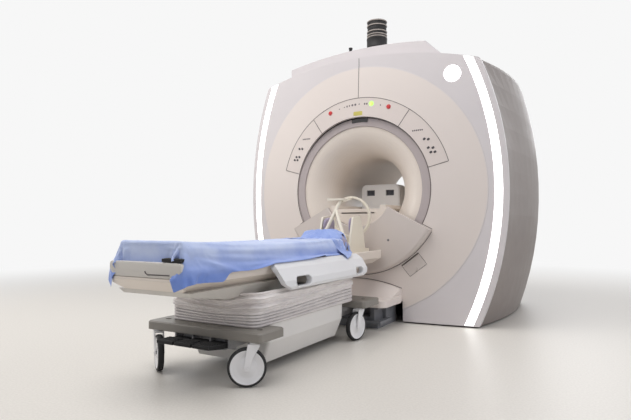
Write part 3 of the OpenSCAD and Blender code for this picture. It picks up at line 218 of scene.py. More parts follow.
def moulded(name, base, rough=0.42, grain=0.0002, grain_scale=420, vary=0.035, coat=0.12, bevel=0.002):
    """Painted or moulded plastic: a fine orange-peel grain under a thin gloss."""
    s = Shader(name, rough=rough, coat=coat).paint(base, vary)
    s.set("Coat Roughness", 0.25)
    s.uneven_gloss(rough - 0.06, rough + 0.08, 9)
    return s.relief([(s.noise(grain_scale, 2), grain, 0.35), (s.noise(3, 2), 0.004, 0.05)], bevel)


def glowing(name, base, strength):
    s = Shader(name, rough=0.3)
    s.set("Base Color", (*base, 1))
    tint = s.ramp(s.noise(40, 2), [(0.3, mixed(base, (1, 1, 1), 0.2)), (0.7, base)])
    s.link(tint, "Emission Color")
    s.set("Emission Strength", strength)
    return s


def metal(name, base, rough=0.35, stretch=(1, 1, 14), bevel=0.0012):
    s = Shader(name, rough=rough, metallic=1.0).paint(base, 0.08, 6)
    s.uneven_gloss(rough - 0.08, rough + 0.12, 60)
    return s.relief([(s.noise(220, 3, stretch=stretch), 0.0002, 0.3)], bevel)


def coated_steel(name, base, rough=0.38):
    """Powder-coated metal with a pebbled skin, rubbed at the corners."""
    s = Shader(name, rough=rough, coat=0.2).paint(base, 0.05, 5)
    s.worn(mixed(base, (0.45, 0.44, 0.42), 0.5), 0.003, 0.5)
    return s.relief([(s.noise(900, 2), 0.00015, 0.4)], 0.0018)


def rubber(name, base, rough=0.62):
    s = Shader(name, rough=rough, specular=0.35).paint(base, 0.25, 12)
    s.worn(mixed(base, (0.3, 0.3, 0.3), 0.35), 0.003, 0.6)
    return s.relief([(s.noise(1100, 3), 0.0003, 0.5), (s.noise(60, 3), 0.0006, 0.2)], 0.0015)


def woven(name, base, deep_tone_and_shade, rough=0.85, sheen=0.35, thread=0.0011, drop=None):
    """Woven cotton: crossed threads, slubs and a faint rumple; patches and slubs take a deeper tone, and with
    `drop` the lower parts take it as painted shade.
    """
    s = Shader(name, rough=rough, sheen=sheen, specular=0.25)
    s.set("Sheen Roughness", 0.5)
    worn = mixed(base, (1, 1, 1), 0.10)
    s.base = s.ramp(s.noise(7, 5), [(0.25, mixed(base, deep_tone_and_shade, 0.35)), (0.6, base), (0.85, worn)])
    slub = s.noise(260, 2, stretch=(1, 0.08, 1))
    s.base = s.mix(s.node("ShaderNodeMapRange", Value=slub, To_Min=0.0, To_Max=0.12).outputs[0], s.base, deep_tone_and_shade)
    # Painted shade: between the heights in drop the cloth darkens downwards towards the deeper tone, so the top
    # stays lighter
    if drop:
        height = s.node("ShaderNodeSeparateXYZ", Vector=s.where).outputs["Z"]
        low = s.node("ShaderNodeMapRange", Value=height, From_Min=drop[0], From_Max=drop[1],
                     To_Min=0.0, To_Max=0.75).outputs[0]
        s.base = s.mix(low, s.base, deep_tone_and_shade)
    s.link(s.base, "Base Color")
    uv = s.node("ShaderNodeUVMap").outputs[0]
    threads = []
    for direction in ("X", "Y"):
        wave = s.node("ShaderNodeTexWave", Vector=uv, Scale=0.31 / thread / 2, Distortion=0.6, Detail=1.0)
        wave.bands_direction = direction
        threads.append(wave.outputs["Fac"])
    return s.relief([(threads[0], 0.00015, 0.25), (threads[1], 0.00015, 0.25), (s.noise(38, 4), 0.0022, 0.30),
                     (s.noise(11, 3), 0.006, 0.20)], 0)


# COVER is the cover's paint; DOME_LIT is a lighter, warmer copy of it, painted light for inside the dome's rim
COVER, DOME_LIT = colour(209, 204, 206), colour(219, 210, 205)

look = {
    "front_cover": moulded("cover paint", COVER, 0.40, grain_scale=520, vary=0.02).painted_dome_light(DOME_LIT),
    "panel": moulded("panel paint", colour(214, 204, 199), 0.42, grain_scale=520, vary=0.02),
    "apron": moulded("apron paint", colour(205, 196, 191), 0.45, vary=0.03),
    # Side covers: a darker taupe than the front, partly their own colour and partly painted shade, for sides
    # that face away from the light
    "side_cover": moulded("side cover paint and shade", colour(134, 125, 121), 0.48, vary=0.05, grain_scale=300),
    "top_cover": moulded("top cover paint", colour(206, 196, 187), 0.5, vary=0.04),
    "ring": moulded("ring paint", colour(176, 166, 166), 0.36, vary=0.03),
    "liner": moulded("liner plastic", colour(226, 216, 206), 0.34, vary=0.02, grain=0.0001),
    "lamp": glowing("lit lens", (1.0, 1.0, 1.0), 2.4),
    "indicator": glowing("green lamp", colour(150, 235, 60), 1.5),
    "white_plastic": moulded("table plastic", colour(224, 222, 220), 0.36, vary=0.025, coat=0.2),
    "rail": moulded("rail plastic", colour(228, 229, 232), 0.32, vary=0.02, coat=0.3),
    "white_metal": coated_steel("white coated steel", colour(230, 230, 232), 0.34),
    # Platform: darker than its own grey-brown, partly its own tone and partly painted shade, for the deck in
    # shadow
    "platform": moulded("platform plastic and shade", colour(128, 124, 118), 0.46, vary=0.06, bevel=0.006),
    "frame_paint": coated_steel("grey coated steel", colour(58, 58, 60), 0.45),
    "steel_frame": coated_steel("pale coated steel", colour(150, 150, 152), 0.42),
    "steel": metal("brushed steel", colour(176, 176, 178), 0.36),
    "machinery": coated_steel("machine paint", colour(120, 122, 128), 0.5),
    "coil": moulded("resin", colour(168, 132, 84), 0.4, vary=0.12),
    "hose": rubber("hose rubber", colour(30, 29, 30), 0.55),
    "tyre": rubber("tyre rubber", colour(38, 38, 40), 0.6),
    "pedal": rubber("pedal rubber", colour(26, 26, 28), 0.7),
    "coil_plastic": moulded("ivory plastic", colour(228, 221, 205), 0.33, vary=0.03, coat=0.25),
    "port": moulded("socket plastic", colour(86, 86, 92), 0.4, vary=0.06),
    "frame_beige": moulded("frame plastic", colour(206, 202, 196), 0.42, vary=0.04),
    "clamp": moulded("clamp plastic", colour(112, 112, 116), 0.5, vary=0.05),
    "key": moulded("key plastic", colour(62, 58, 62), 0.5, vary=0.05, bevel=0.0005),
    "mark": moulded("print grey", colour(104, 98, 100), 0.6, vary=0.04, bevel=0),
    # Painted shadow: a dark material for lines laid in seams, gaps and slots, where there is only shade
    "gasket": rubber("gasket rubber", colour(86, 80, 80), 0.7),
    "label": moulded("bare label", colour(190, 180, 92), 0.5, vary=0.06, bevel=0),
    "band": rubber("duct band", colour(168, 160, 154), 0.6),
}

# Stop buttons: bright moulded red
look["stop_button"] = moulded("red plastic", colour(206, 40, 44), 0.3, vary=0.03, coat=0.5)

# Smoked window of the positioning lamps
s = Shader("smoked glass", rough=0.08, coat=0.5).paint(colour(34, 30, 34), 0.1, 20)
look["dark_window"] = s.relief([(s.noise(90, 2), 0.0001, 0.1)], 0.001)

# Cloths
# Painted shade: the sheet turns a deeper blue below 0.655 m, on its hanging sides and foot
look["sheet"] = woven("blue cotton", colour(198, 211, 241), colour(80, 122, 212), drop=(0.655, 0.545))
look["cloth"] = woven("creased blue cotton", colour(158, 178, 228), colour(76, 104, 190), thread=0.0014)

# Navy vinyl of the mattress
s = Shader("navy vinyl", rough=0.5, coat=0.1).paint(colour(44, 56, 96), 0.12, 8)
look["mattress"] = s.relief([(s.noise(520, 4), 0.0005, 0.4), (s.noise(14, 3), 0.003, 0.25)], 0)

# Mauve foam of the head pads
s = Shader("mauve foam", rough=0.9, sheen=0.3).paint(colour(168, 158, 180), 0.10, 14)
look["pad"] = s.relief([(s.noise(600, 4), 0.0008, 0.5), (s.noise(30, 3), 0.002, 0.3)], 0)

# Coated fabric of the bellows: soft sheen, and painted shade that darkens it towards the bottom, where the
# pleats are
s = Shader("bellows fabric", rough=0.62, sheen=0.25, specular=0.35)
pale, bellows_deep_and_shade = colour(238, 233, 231), colour(172, 164, 166)
s.base = s.ramp(s.noise(9, 5, stretch=(1, 1, 3)), [(0.25, mixed(pale, bellows_deep_and_shade, 0.35)), (0.62, pale)])
# Painted shade: darker towards the deck, up to a third of the way to the deep tone
height = s.node("ShaderNodeSeparateXYZ", Vector=s.where).outputs["Z"]
low = s.node("ShaderNodeMapRange", Value=height, From_Min=0.40, From_Max=DECK_TOP, To_Min=0.0,
             To_Max=0.35).outputs[0]
s.base = s.mix(low, s.base, bellows_deep_and_shade)
s.link(s.base, "Base Color")
look["bellows"] = s.relief([(s.noise(900, 3), 0.0003, 0.3),
                            (s.noise(26, 4, stretch=(1, 1, 2.5)), 0.0035, 0.35)], 0)
look["pleat"] = rubber("pleat shadow", colour(104, 98, 102), 0.8)


# ---------------------------------------------------------------- mesh helpers

def add(name, verts, faces, look_name, body=None, smooth=40, uvs=None):
    """A mesh piece with its material; edges sharper than `smooth` degrees stay crisp."""
    mesh = bpy.data.meshes.new(name)
    mesh.from_pydata([tuple(v) for v in verts], [], faces)
    mesh.validate()
    mesh.update()
    piece = bpy.data.objects.new(name, mesh)
    bpy.context.scene.collection.objects.link(piece)
    mesh.materials.append(look[look_name].material)
    if uvs is not None:
        layer = mesh.uv_layers.new(name="UVMap")
        for loop in mesh.loops:
            layer.data[loop.index].uv = uvs[loop.vertex_index]
    mesh.polygons.foreach_set("use_smooth", [True] * len(mesh.polygons))
    if smooth < 180:
        mesh.set_sharp_from_angle(angle=math.radians(smooth))
    if body:
        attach(piece, body)
    return piece


def modify(piece, kind, **settings):
    made = piece.modifiers.new(kind.lower(), kind)
    for key, value in settings.items():
        setattr(made, key, value)
    return made


class Form:
    """Gathers several shapes into one mesh."""

    def __init__(self):
        self.verts, self.faces = [], []

    def grid(self, rows, closed=False, cap=False):
        """Rows of points joined into a skin; `closed` joins each row's ends."""
        base, n = len(self.verts), len(rows[0])
        for row in rows:
            self.verts.extend(Vector(p) for p in row)
        for i in range(len(rows) - 1):
            for j in range(n if closed else n - 1):
                k = (j + 1) % n
                a, b = base + i * n, base + (i + 1) * n
                self.faces.append((a + j, a + k, b + k, b + j))
        if cap:
            self.faces.append(tuple(base + j for j in reversed(range(n))))
            self.faces.append(tuple(base + (len(rows) - 1) * n + j for j in range(n)))
        return self

    def tube(self, path, radius, sides=12, cap=True):
        """Round bar along a path of points; radius may change from point to point."""
        path = [Vector(p) for p in path]
        radii = radius if hasattr(radius, "__len__") else [radius] * len(path)
        rows, side = [], None
        for i, p in enumerate(path):
            along = (path[min(i + 1, len(path) - 1)] - path[max(i - 1, 0)]).normalized()
            side = side - along * side.dot(along) if side else along.orthogonal()
            side.normalize()
            up = along.cross(side)
            rows.append([p + radii[i] * (side * math.cos(a) + up * math.sin(a))
                         for a in (2 * math.pi * k / sides for k in range(sides))])
        return self.grid(rows, closed=True, cap=cap)

    def turned(self, profile, centre, axis, sides=48, cap=False):
        """(distance along the axis, radius) pairs swept round the axis."""
        axis = Vector(axis).normalized()
        u = axis.orthogonal().normalized()
        v = axis.cross(u)
        rows = [[Vector(centre) + axis * d + r * (u * math.cos(a) + v * math.sin(a))
                 for a in (2 * math.pi * k / sides for k in range(sides))] for d, r in profile]
        return self.grid(rows, closed=True, cap=cap)

    def pebble(self, centre, normal, across, size, depth, square=4.0, sides=20):
        """Small raised pad with rounded corners, `size` = half width and half height."""
        normal = Vector(normal).normalized()
        u = (Vector(across) - normal * Vector(across).dot(normal)).normalized()
        v = normal.cross(u)
        outline = []
        for k in range(sides):
            a = 2 * math.pi * (k + 0.5) / sides
            c, s_ = math.cos(a), math.sin(a)
            reach = (abs(c) ** square + abs(s_) ** square) ** (-1 / square)
            outline.append((c * reach, s_ * reach))
        least = min(size)
        levels = ((-depth, 0), (depth * 0.55, 0), (depth * 0.9, least * 0.08), (depth, least * 0.25))
        rows = [[Vector(centre) + normal * d + u * x * (size[0] - inset) + v * y * (size[1] - inset)
                 for x, y in outline] for d, inset in levels]
        return self.grid(rows, closed=True, cap=True)

    def make(self, name, look_name, body, slot, smooth=40):
        return add(name, self.verts, self.faces, look_name, body, smooth)


def smoothstep(a, b, x):
    t = min(max((x - a) / (b - a), 0.0), 1.0)
    return t * t * (3 - 2 * t)


def wobble(x, y, z=0.0, scale=1.0, octaves=3):
    """Soft noise, about -1 to 1."""
    return noise.fractal(Vector((x, y, z)) * scale, 1.0, 2.0, octaves)


class Skin:
    """The outer faces of some CAD nodes, for setting small things on them."""

    def __init__(self, *names):
        verts, faces = [], []
        for name in names:
            mesh = nodes[name].data
            base = len(verts)
            verts.extend(v.co.copy() for v in mesh.vertices)
            faces.extend([base + i for i in p.vertices] for p in mesh.polygons)
        self.tree = BVHTree.FromPolygons(verts, faces)

    def hit(self, start, direction):
        place, normal, _, _ = self.tree.ray_cast(Vector(start), Vector(direction).normalized())
        if place is None:
            return None
        return place, (normal if normal.dot(Vector(direction)) < 0 else -normal)


front_skin = Skin("front_cover_left", "front_cover_right", "control_panel_left", "control_panel_right",
                  "control_panel_centre", "bore_ring", "dock_apron", "dock_housing")


def on_front(radius, degrees):
    """Place and normal on the front face, by radius and angle about the bore's axis."""
    a = math.radians(degrees)
    return front_skin.hit((radius * math.cos(a), BEFORE, AXIS + radius * math.sin(a)), (0, 1, 0))


# ---------------------------------------------------------------- camera, light and stage

scene = bpy.context.scene

# Camera fitted to the photograph's bore ring, dome rim and points on the floor
camera = bpy.data.objects.new("camera", bpy.data.cameras.new("camera"))
camera.location = (1.838, -4.830, 0.784)
camera.rotation_euler = (math.radians(91.468), 0, math.radians(29.675))
camera.data.sensor_width = 36
camera.data.lens = 30.03
scene.collection.objects.link(camera)
scene.camera = camera
scene.view_settings.view_transform = "Standard"


def area_light(name, place, target, size, power, tint):
    lamp = bpy.data.objects.new(name, bpy.data.lights.new(name, "AREA"))
    lamp.data.shape = "RECTANGLE"
    lamp.data.size, lamp.data.size_y = size
    lamp.data.energy = power
    lamp.data.color = tint
    lamp.location = place
    lamp.rotation_euler = (Vector(target) - Vector(place)).to_track_quat("-Z", "Y").to_euler()
    scene.collection.objects.link(lamp)


area_light("ceiling", (-0.4, -2.9, 4.6), (0, -1.4, 0.6), (4.2, 3.4), 128, (1.0, 0.98, 0.95))
area_light("left fill", (-4.6, -3.6, 2.6), (0, -1.2, 0.9), (2.6, 2.6), 52, (1.0, 0.95, 0.89))
area_light("right fill", (5.0, -1.0, 2.8), (0.6, 0, 1.0), (2.6, 2.6), 50, (0.93, 0.95, 1.0))
area_light("rear fill", (0.6, 4.6, 3.2), (0, 0.6, 1.1), (3.0, 2.4), 60, (0.96, 0.97, 1.0))

GROUND = (0.93, 0.93, 0.93, 1)

# World: soft grey light on the object, white where the camera, gloss or glass sees it
world = bpy.data.worlds.new("studio")
scene.world = world
world.use_nodes = True
tree = world.node_tree
back = tree.nodes["Background"]
back.inputs["Strength"].default_value = 1.0
ray = tree.nodes.new("ShaderNodeLightPath").outputs
seen = maths(tree, "MAXIMUM", ray["Is Camera Ray"], ray["Is Glossy Ray"])
seen = maths(tree, "MAXIMUM", seen, ray["Is Transmission Ray"])
shade = tree.nodes.new("ShaderNodeMix")
shade.data_type = "RGBA"
shade.inputs[6].default_value = (0.44, 0.44, 0.46, 1)
shade.inputs[7].default_value = GROUND
tree.links.new(seen, shade.inputs[0])
tree.links.new(shade.outputs[2], back.inputs["Color"])

# Pale floor with a faint mottle
s = Shader("floor vinyl", rough=0.42, specular=0.4)
s.base = s.ramp(s.noise(90, 4), [(0.3, colour(214, 210, 203)), (0.7, colour(224, 220, 213))])
s.link(s.base, "Base Color")
look["floor"] = s.relief([(s.noise(240, 3), 0.0003, 0.2)], 0)

# To the camera, the floor fades into the white ground behind it
tree = look["floor"].material.node_tree
sink = next(node for node in tree.nodes if node.type == "OUTPUT_MATERIAL").inputs["Surface"]
near = sink.links[0].from_socket
span = tree.nodes.new("ShaderNodeVectorMath")
span.operation = "DISTANCE"
span.inputs[1].default_value = (0, -1.2, 0)
fade = tree.nodes.new("ShaderNodeMapRange")
fade.interpolation_type = "SMOOTHSTEP"
fade.inputs["From Min"].default_value = 2.6
fade.inputs["From Max"].default_value = 7.5
ray = tree.nodes.new("ShaderNodeLightPath").outputs
ground = tree.nodes.new("ShaderNodeEmission")
ground.inputs["Color"].default_value = GROUND
ground.inputs["Strength"].default_value = 1.0
blend = tree.nodes.new("ShaderNodeMixShader")
tree.links.new(tree.nodes.new("ShaderNodeTexCoord").outputs["Object"], span.inputs[0])
tree.links.new(span.outputs["Value"], fade.inputs["Value"])
tree.links.new(maths(tree, "MULTIPLY", fade.outputs["Result"], ray["Is Camera Ray"]), blend.inputs[0])
tree.links.new(near, blend.inputs[1])
tree.links.new(ground.outputs[0], blend.inputs[2])
tree.links.new(blend.outputs[0], sink)

# Rings of the floor, each 1.6 times the one before
SPOKES, RINGS, FLOOR_Y, FLOOR_Z = 64, 7, -1.0, -0.0005
around = [2 * math.pi * k / SPOKES for k in range(SPOKES)]
verts = [(0, FLOOR_Y, FLOOR_Z)]
verts += [(r * math.cos(a), FLOOR_Y + r * math.sin(a), FLOOR_Z)
          for r in (1.5 * 1.6 ** k for k in range(RINGS)) for a in around]
faces = [(0, 1 + k, 1 + (k + 1) % SPOKES) for k in range(SPOKES)]
for i in range(RINGS - 1):
    a, b = 1 + i * SPOKES, 1 + (i + 1) * SPOKES
    faces += [(a + k, b + k, b + (k + 1) % SPOKES, a + (k + 1) % SPOKES) for k in range(SPOKES)]
floor = add("floor", verts, faces, "floor")


# ---------------------------------------------------------------- CAD nodes: finishes

finish_of = {part["node"]: part["material_slot"] for part in frame["record"]["subparts"]}

# Nodes that look different from their slot
special = {
    "control_panel_centre": "panel", "control_panel_left": "panel", "control_panel_right": "panel",
    "dock_apron": "apron", "access_flap": "apron", "side_rail_left": "rail", "side_rail_right": "rail",
    "table_frame": "frame_beige",
}
for name, node in nodes.items():
    chosen = special.get(name) or finish_of.get(name) or "white_plastic"
    node.data.materials.clear()
    node.data.materials.append(look[chosen if chosen in look else "white_plastic"].material)


# ---------------------------------------------------------------- front face details

# Radius and angle of each key
RIGHT_KEYS = [(0.672, 34.6), (0.696, 32.9), (0.662, 28.1), (0.693, 26.6), (0.664, 24.6), (0.693, 23.6)]
LEFT_KEYS = [(0.700, 146.8), (0.673, 145.5), (0.693, 153.1), (0.664, 152.0), (0.700, 155.7), (0.671, 154.8)]


def key_pad(side, keys, row):
    """Soft keys and a row of small raised bars on one side panel."""
    pads, bars = Form(), Form()
    for radius, degrees in keys:
        place, normal = on_front(radius, degrees)
        a = math.radians(degrees)
        pads.pebble(place, normal, (math.cos(a), 0, math.sin(a)), (0.0112, 0.0088), 0.0020)
    (r0, a0), (r1, a1) = row
    for k in range(6):
        t = k / 5
        radius, degrees = r0 + (r1 - r0) * t, a0 + (a1 - a0) * t
        place, normal = on_front(radius, degrees)
        a = math.radians(degrees)
        bars.pebble(place, normal, (-math.sin(a), 0, math.cos(a)), (0.0062, 0.0054), 0.0009, sides=12)
    pads.make("keys_" + side, "key", "magnet", "dark_window")
    bars.make("marks_" + side, "mark", "magnet", "dark_window")


key_pad("right", RIGHT_KEYS, ((0.647, 44.2), (0.704, 40.3)))
key_pad("left", LEFT_KEYS, ((0.663, 135.7), (0.716, 139.6)))

# Small bare marks along the centre panel: angle, half width, half height
MARKS = ((104.4, 0.0045, 0.0045), (100.4, 0.0050, 0.0040), (98.4, 0.0060, 0.0075), (96.6, 0.0050, 0.0075),
         (94.4, 0.0085, 0.0085), (92.2, 0.0085, 0.0085), (89.4, 0.0050, 0.0050), (85.4, 0.0060, 0.0080),
         (83.8, 0.0060, 0.0080), (74.0, 0.0050, 0.0050))
dots = Form()
for degrees, wide, tall in MARKS:
    place, normal = on_front(MARKS_R, degrees)
    dots.pebble(place, normal, (1, 0, 0), (wide, tall), 0.0009, sides=12)
dots.make("marks_centre", "mark", "magnet", "dark_window")

# Bare plate over the laser window
place, normal = on_front(0.634, 90.3)
Form().pebble(place, normal, (1, 0, 0), (0.040, 0.017), 0.0014, square=14, sides=32).make(
    "label_plate", "label", "magnet", "indicator")

# Collars round the stop buttons and the green lamp; the lamp's collar glows green too, a painted glow of the
# lamp's light spreading round it
COLLAR = [(0.004, 0.0148), (-0.0022, 0.0150), (-0.0034, 0.0162), (-0.0034, 0.0184), (-0.0020, 0.0198),
          (0.004, 0.0200)]
for key, degrees, finish in (("right", 68.3, "stop_button"), ("left", 111.7, "stop_button"),
                             ("lamp", 80.7, "indicator")):
    place, normal = on_front(BUTTON_R + 0.021, degrees)
    a = math.radians(degrees)
    middle = Vector((BUTTON_R * math.cos(a), place.y + 0.0008, AXIS + BUTTON_R * math.sin(a)))
    Form().turned(COLLAR, middle, (0, 1, 0), 40).make("collar_" + key, finish, "magnet", finish)


def line(form, points, radius=SEAM):
    """Dark shadow line laid along places on a skin; rays that met nothing are left out."""
    path = [p[0] + p[1] * 0.0002 for p in points if p]
    if len(path) > 1:
        form.tube(path, radius, 6)


def arc(form, radius, start, end, thick=SEAM):
    n = int(abs(end - start) / 2)
    line(form, [on_front(radius, start + (end - start) * k / n) for k in range(n + 1)], thick)


def spoke(form, degrees, start, end, thick=SEAM, n=8):
    line(form, [on_front(start + (end - start) * k / n, degrees) for k in range(n + 1)], thick)


# Painted shadow lines in the seams of the control ring, the cover halves, the bore ring and the apron, each
# line just beside its gap
seams = Form()
arc(seams, 0.7640, 15.3, 164.7)
for degrees in (15.3, 55.2, 124.8, 164.7):
    spoke(seams, degrees, 0.604, 0.760)
spoke(seams, 90.09, 0.766, 1.098, n=16)
arc(seams, 0.6030, -28.0, 208.0, thick=0.0026)
arc(seams, 0.6945, -150.5, -29.5, thick=0.0024)
for degrees in (-27.6, 207.6):
    spoke(seams, degrees, 0.606, 0.688, 0.0022)
seams.make("seam_lines", "gasket", "magnet", "dark_window")

# Painted shadow line in the seam of the rear cover's halves, over and under the bore's rear mouth
rear_skin = Skin("rear_cover_left", "rear_cover_right")
rear_seam = Form()
for low, high in ((0.06, 0.54), (1.58, 2.08)):
    heights = [low + (high - low) * k / 14 for k in range(15)]
    line(rear_seam, [rear_skin.hit((0.0015, BEHIND, z), (0, -1, 0)) for z in heights], 0.0024)
rear_seam.make("rear_seam", "gasket", "magnet", "dark_window")

# Painted shadow line along the curved upper edge of the dock's hood
hood = Form()
path = []
for k in range(33):
    x = -0.366 + 0.732 * k / 32
    path.append(front_skin.hit((x, BEFORE, 0.3385 - 0.067 * (x / 0.37) ** 2), (0, 1, 0)))
line(hood, path, 0.0024)
hood.make("hood_seam", "gasket", "magnet", "dark_window")

# Painted shadow line round the hatch, across and along its radius
hatch = Form()
a = math.radians(HATCH_ANGLE)
out, up = Vector((math.cos(a), 0, math.sin(a))), Vector((-math.sin(a), 0, math.cos(a)))
middle = Vector((0, BEFORE, AXIS)) + out * HATCH_R
corners = [(-0.0587, -0.0842), (0.0512, -0.0842), (0.0512, 0.0842), (-0.0587, 0.0842), (-0.0587, -0.0842)]
path = []
for (u0, v0), (u1, v1) in zip(corners, corners[1:]):
    for k in range(8):
        t = k / 8
        start = middle + out * (u0 + (u1 - u0) * t) + up * (v0 + (v1 - v0) * t)
        path.append(front_skin.hit(start, (0, 1, 0)))
path.append(path[0])
line(hatch, path, 0.0013)
hatch.make("hatch_seam", "gasket", "magnet", "dark_window")

# Screw head on the apron
place, normal = on_front(math.hypot(0.277, 0.407), math.degrees(math.atan2(-0.407, 0.277)))
Form().pebble(place, normal, (1, 0, 0), (0.009, 0.009), 0.002, square=2, sides=24).make(
    "apron_screw", "clamp", "magnet", "steel")


# ---------------------------------------------------------------- duct

# Clamp bands, by height, and the smooth sleeve at the duct's foot
BAND = [(-0.0050, 0.0865), (-0.0042, 0.0890), (-0.0020, 0.0905), (0.0020, 0.0905), (0.0042, 0.0890),
        (0.0050, 0.0865)]
SLEEVE = [(2.334, 0.0874), (2.334, 0.0900), (2.350, 0.0906), (2.352, 0.0916), (2.358, 0.0916), (2.360, 0.0904),
          (2.420, 0.0904), (2.424, 0.0918), (2.432, 0.0918), (2.434, 0.0900), (2.434, 0.0874)]
bands = Form()
for z in (2.443, 2.463, 2.493, 2.546, 2.584):
    bands.turned(BAND, (0, DUCT_Y, z), (0, 0, 1), 64)
bands.make("duct_bands", "band", "magnet", "hose")
Form().turned([(z - SLEEVE_FOOT, r) for z, r in SLEEVE], (0, DUCT_Y, SLEEVE_FOOT), (0, 0, 1), 64).make(
    "duct_sleeve", "hose", "magnet", "hose")


# ---------------------------------------------------------------- wheels

# Half profiles about the axle: distance from the middle, radius
FACE = [(0.0135, 0.0045), (0.0145, 0.006), (0.0150, 0.020), (0.0135, 0.023), (0.0105, 0.027), (0.0098, 0.046),
        (0.0092, 0.048), (0.0092, 0.051), (0.0098, 0.053), (0.0102, 0.066), (0.0120, 0.074), (0.0150, 0.0785),
        (0.0156, 0.0805), (0.0150, 0.0825)]
TREAD = [(0.0030, 0.0950), (0.0080, 0.0948), (0.0125, 0.0936), (0.0152, 0.0905), (0.0158, 0.0860),
         (0.0150, 0.0815)]
BOLT = [(0.0100, 0.0095), (0.0152, 0.0095), (0.0166, 0.0080), (0.0166, 0.0010)]


def wheel(key):
    """Pale dished disc, dark tyre and a bolt head on each side."""
    x, y, degrees = CASTERS[key]
    a = math.radians(degrees)
    hub = Vector((x + TRAIL * math.sin(a), y - TRAIL * math.cos(a), WHEEL_R))
    axle = Vector((math.cos(a), math.sin(a), 0))
    profile = [(-d, r) for d, r in FACE] + FACE[::-1]
    disc = Form().turned(profile + [profile[0]], hub, axle, 72)
    disc = disc.make("disc_" + key, "white_metal", "wheel_" + key, "wheel")
    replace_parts(disc, "wheel_" + key)
    tread = [(-d, r) for d, r in reversed(TREAD)] + TREAD
    Form().turned(tread + [tread[0]], hub, axle, 72).make("tyre_" + key, "tyre", "wheel_" + key, "frame_paint")
    bolt = Form()
    for side in (-1, 1):
        bolt.turned([(side * d, r) for d, r in BOLT], hub, axle, 6, cap=True)
    bolt.make("bolt_" + key, "pedal", "wheel_" + key, "steel", 20)


for key in CASTERS:
    wheel(key)


# ---------------------------------------------------------------- bellows

def bellows():
    """One soft skin: tight pleats at the foot, wide uneven folds above, deepest at the corners."""
    w, y0, y1, corner = 0.285, -2.700, -1.580, 0.045
    z0, z1 = DECK_TOP + 0.0008, BELLOWS_TOP + 0.0005
    pleats, share, steps = 5, 0.44, 6      # share of the height with pleats, rows in each pleat
    ring = []                             # corner middle or side point, normal, how near a corner
    for quarter in range(4):
        cx = (w - corner) * (1 if quarter in (0, 3) else -1)
        cy = (y1 - corner) if quarter < 2 else (y0 + corner)
        for k in range(9):
            a = math.pi / 2 * (quarter + k / 9)
            ring.append((cx, cy, math.cos(a), math.sin(a), 1 - abs(k - 4) / 6))
        a = math.pi / 2 * (quarter + 1)
        nx, ny = math.cos(a), math.sin(a)
        run = 2 * (w - corner) if quarter % 2 == 0 else (y1 - y0) - 2 * corner
        n = int(run / 0.011)
        for k in range(n):
            d = run * k / n
            edge = max(0.0, 1 - min(d, run - d) / 0.12) * 0.35
            ring.append((cx - ny * d, cy + nx * d, nx, ny, edge))
    levels = [share * i / (pleats * steps) for i in range(pleats * steps)]
    levels += [share + (1 - share) * i / 44 for i in range(45)]
    rows = []
    for h in levels:
        row = []
        for cx, cy, nx, ny, bend in ring:
            x, y = cx + nx * corner, cy + ny * corner
            foot = smoothstep(-2.55, -2.72, y)
            lift = 0.035 * wobble(x, y, 3.1, 2.6, 2) + 0.05 * bend * wobble(x, y, 9.0, 6.0, 2)
            if h < share:
                phase = (h / share * pleats) % 1.0
                grow = 0.0120 * (math.sin(math.pi * phase) ** 0.45) - 0.0065
                grow *= smoothstep(0, 0.03, h) * (1 - 0.35 * bend)
            else:
                t = (h - share) / (1 - share)
                u = t + lift * smoothstep(0, 0.2, t) * smoothstep(1.0, 0.8, t)
                wave = 0.62 * math.sin(2 * math.pi * (2.15 * u - 0.12))
                wave += 0.38 * math.sin(2 * math.pi * (4.3 * u + 0.6 * wobble(x, y, 5, 2.2, 2)))
                grow = 0.0035 + (0.0105 + 0.003 * foot + 0.002 * bend) * wave
                grow += 0.0035 * wobble(x, y, 14 * t, 9.0, 3)
                grow *= smoothstep(1.0, 0.90, t) * smoothstep(-0.02, 0.08, t)
            rise = h + 0.15 * smoothstep(-2.55, -1.62, y) * math.sin(math.pi * h)
            top = z1 + 0.0265 * smoothstep(0.03, 0.262, abs(x))
            z = z0 + (top - z0) * rise + 0.0026 * wobble(x, y, 7 * h, 5.0, 2) * math.sin(math.pi * h)
            row.append((cx + nx * (corner + grow), cy + ny * (corner + grow), z))
        rows.append(row)
    skin = Form().grid(rows, closed=True).make("bellows_skin", "bellows", None, "bellows", 180)
    skin.data.materials.append(look["pleat"].material)
    n = len(ring)
    for polygon in skin.data.polygons:
        level = polygon.index // n
        if 0 < level < pleats * steps and level % steps == 0:
            polygon.material_index = 1
    modify(skin, "SOLIDIFY", thickness=0.0025, offset=-1)
    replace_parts(skin, "bellows")
    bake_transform(skin)


bellows()


# ---------------------------------------------------------------- mattress, sheet and cushions

def pad_top(y):
    """Height of the mattress along the table: raised at the foot and the shoulders."""
    t = min(max((y - PAD_FOOT) / (PAD_HEAD - PAD_FOOT), 0.0), 1.0)
    return CRADLE_TOP + 0.074 + 0.048 * (1 - t) ** 3 + 0.022 * math.sin(math.radians(120 * t)) ** 2 * t


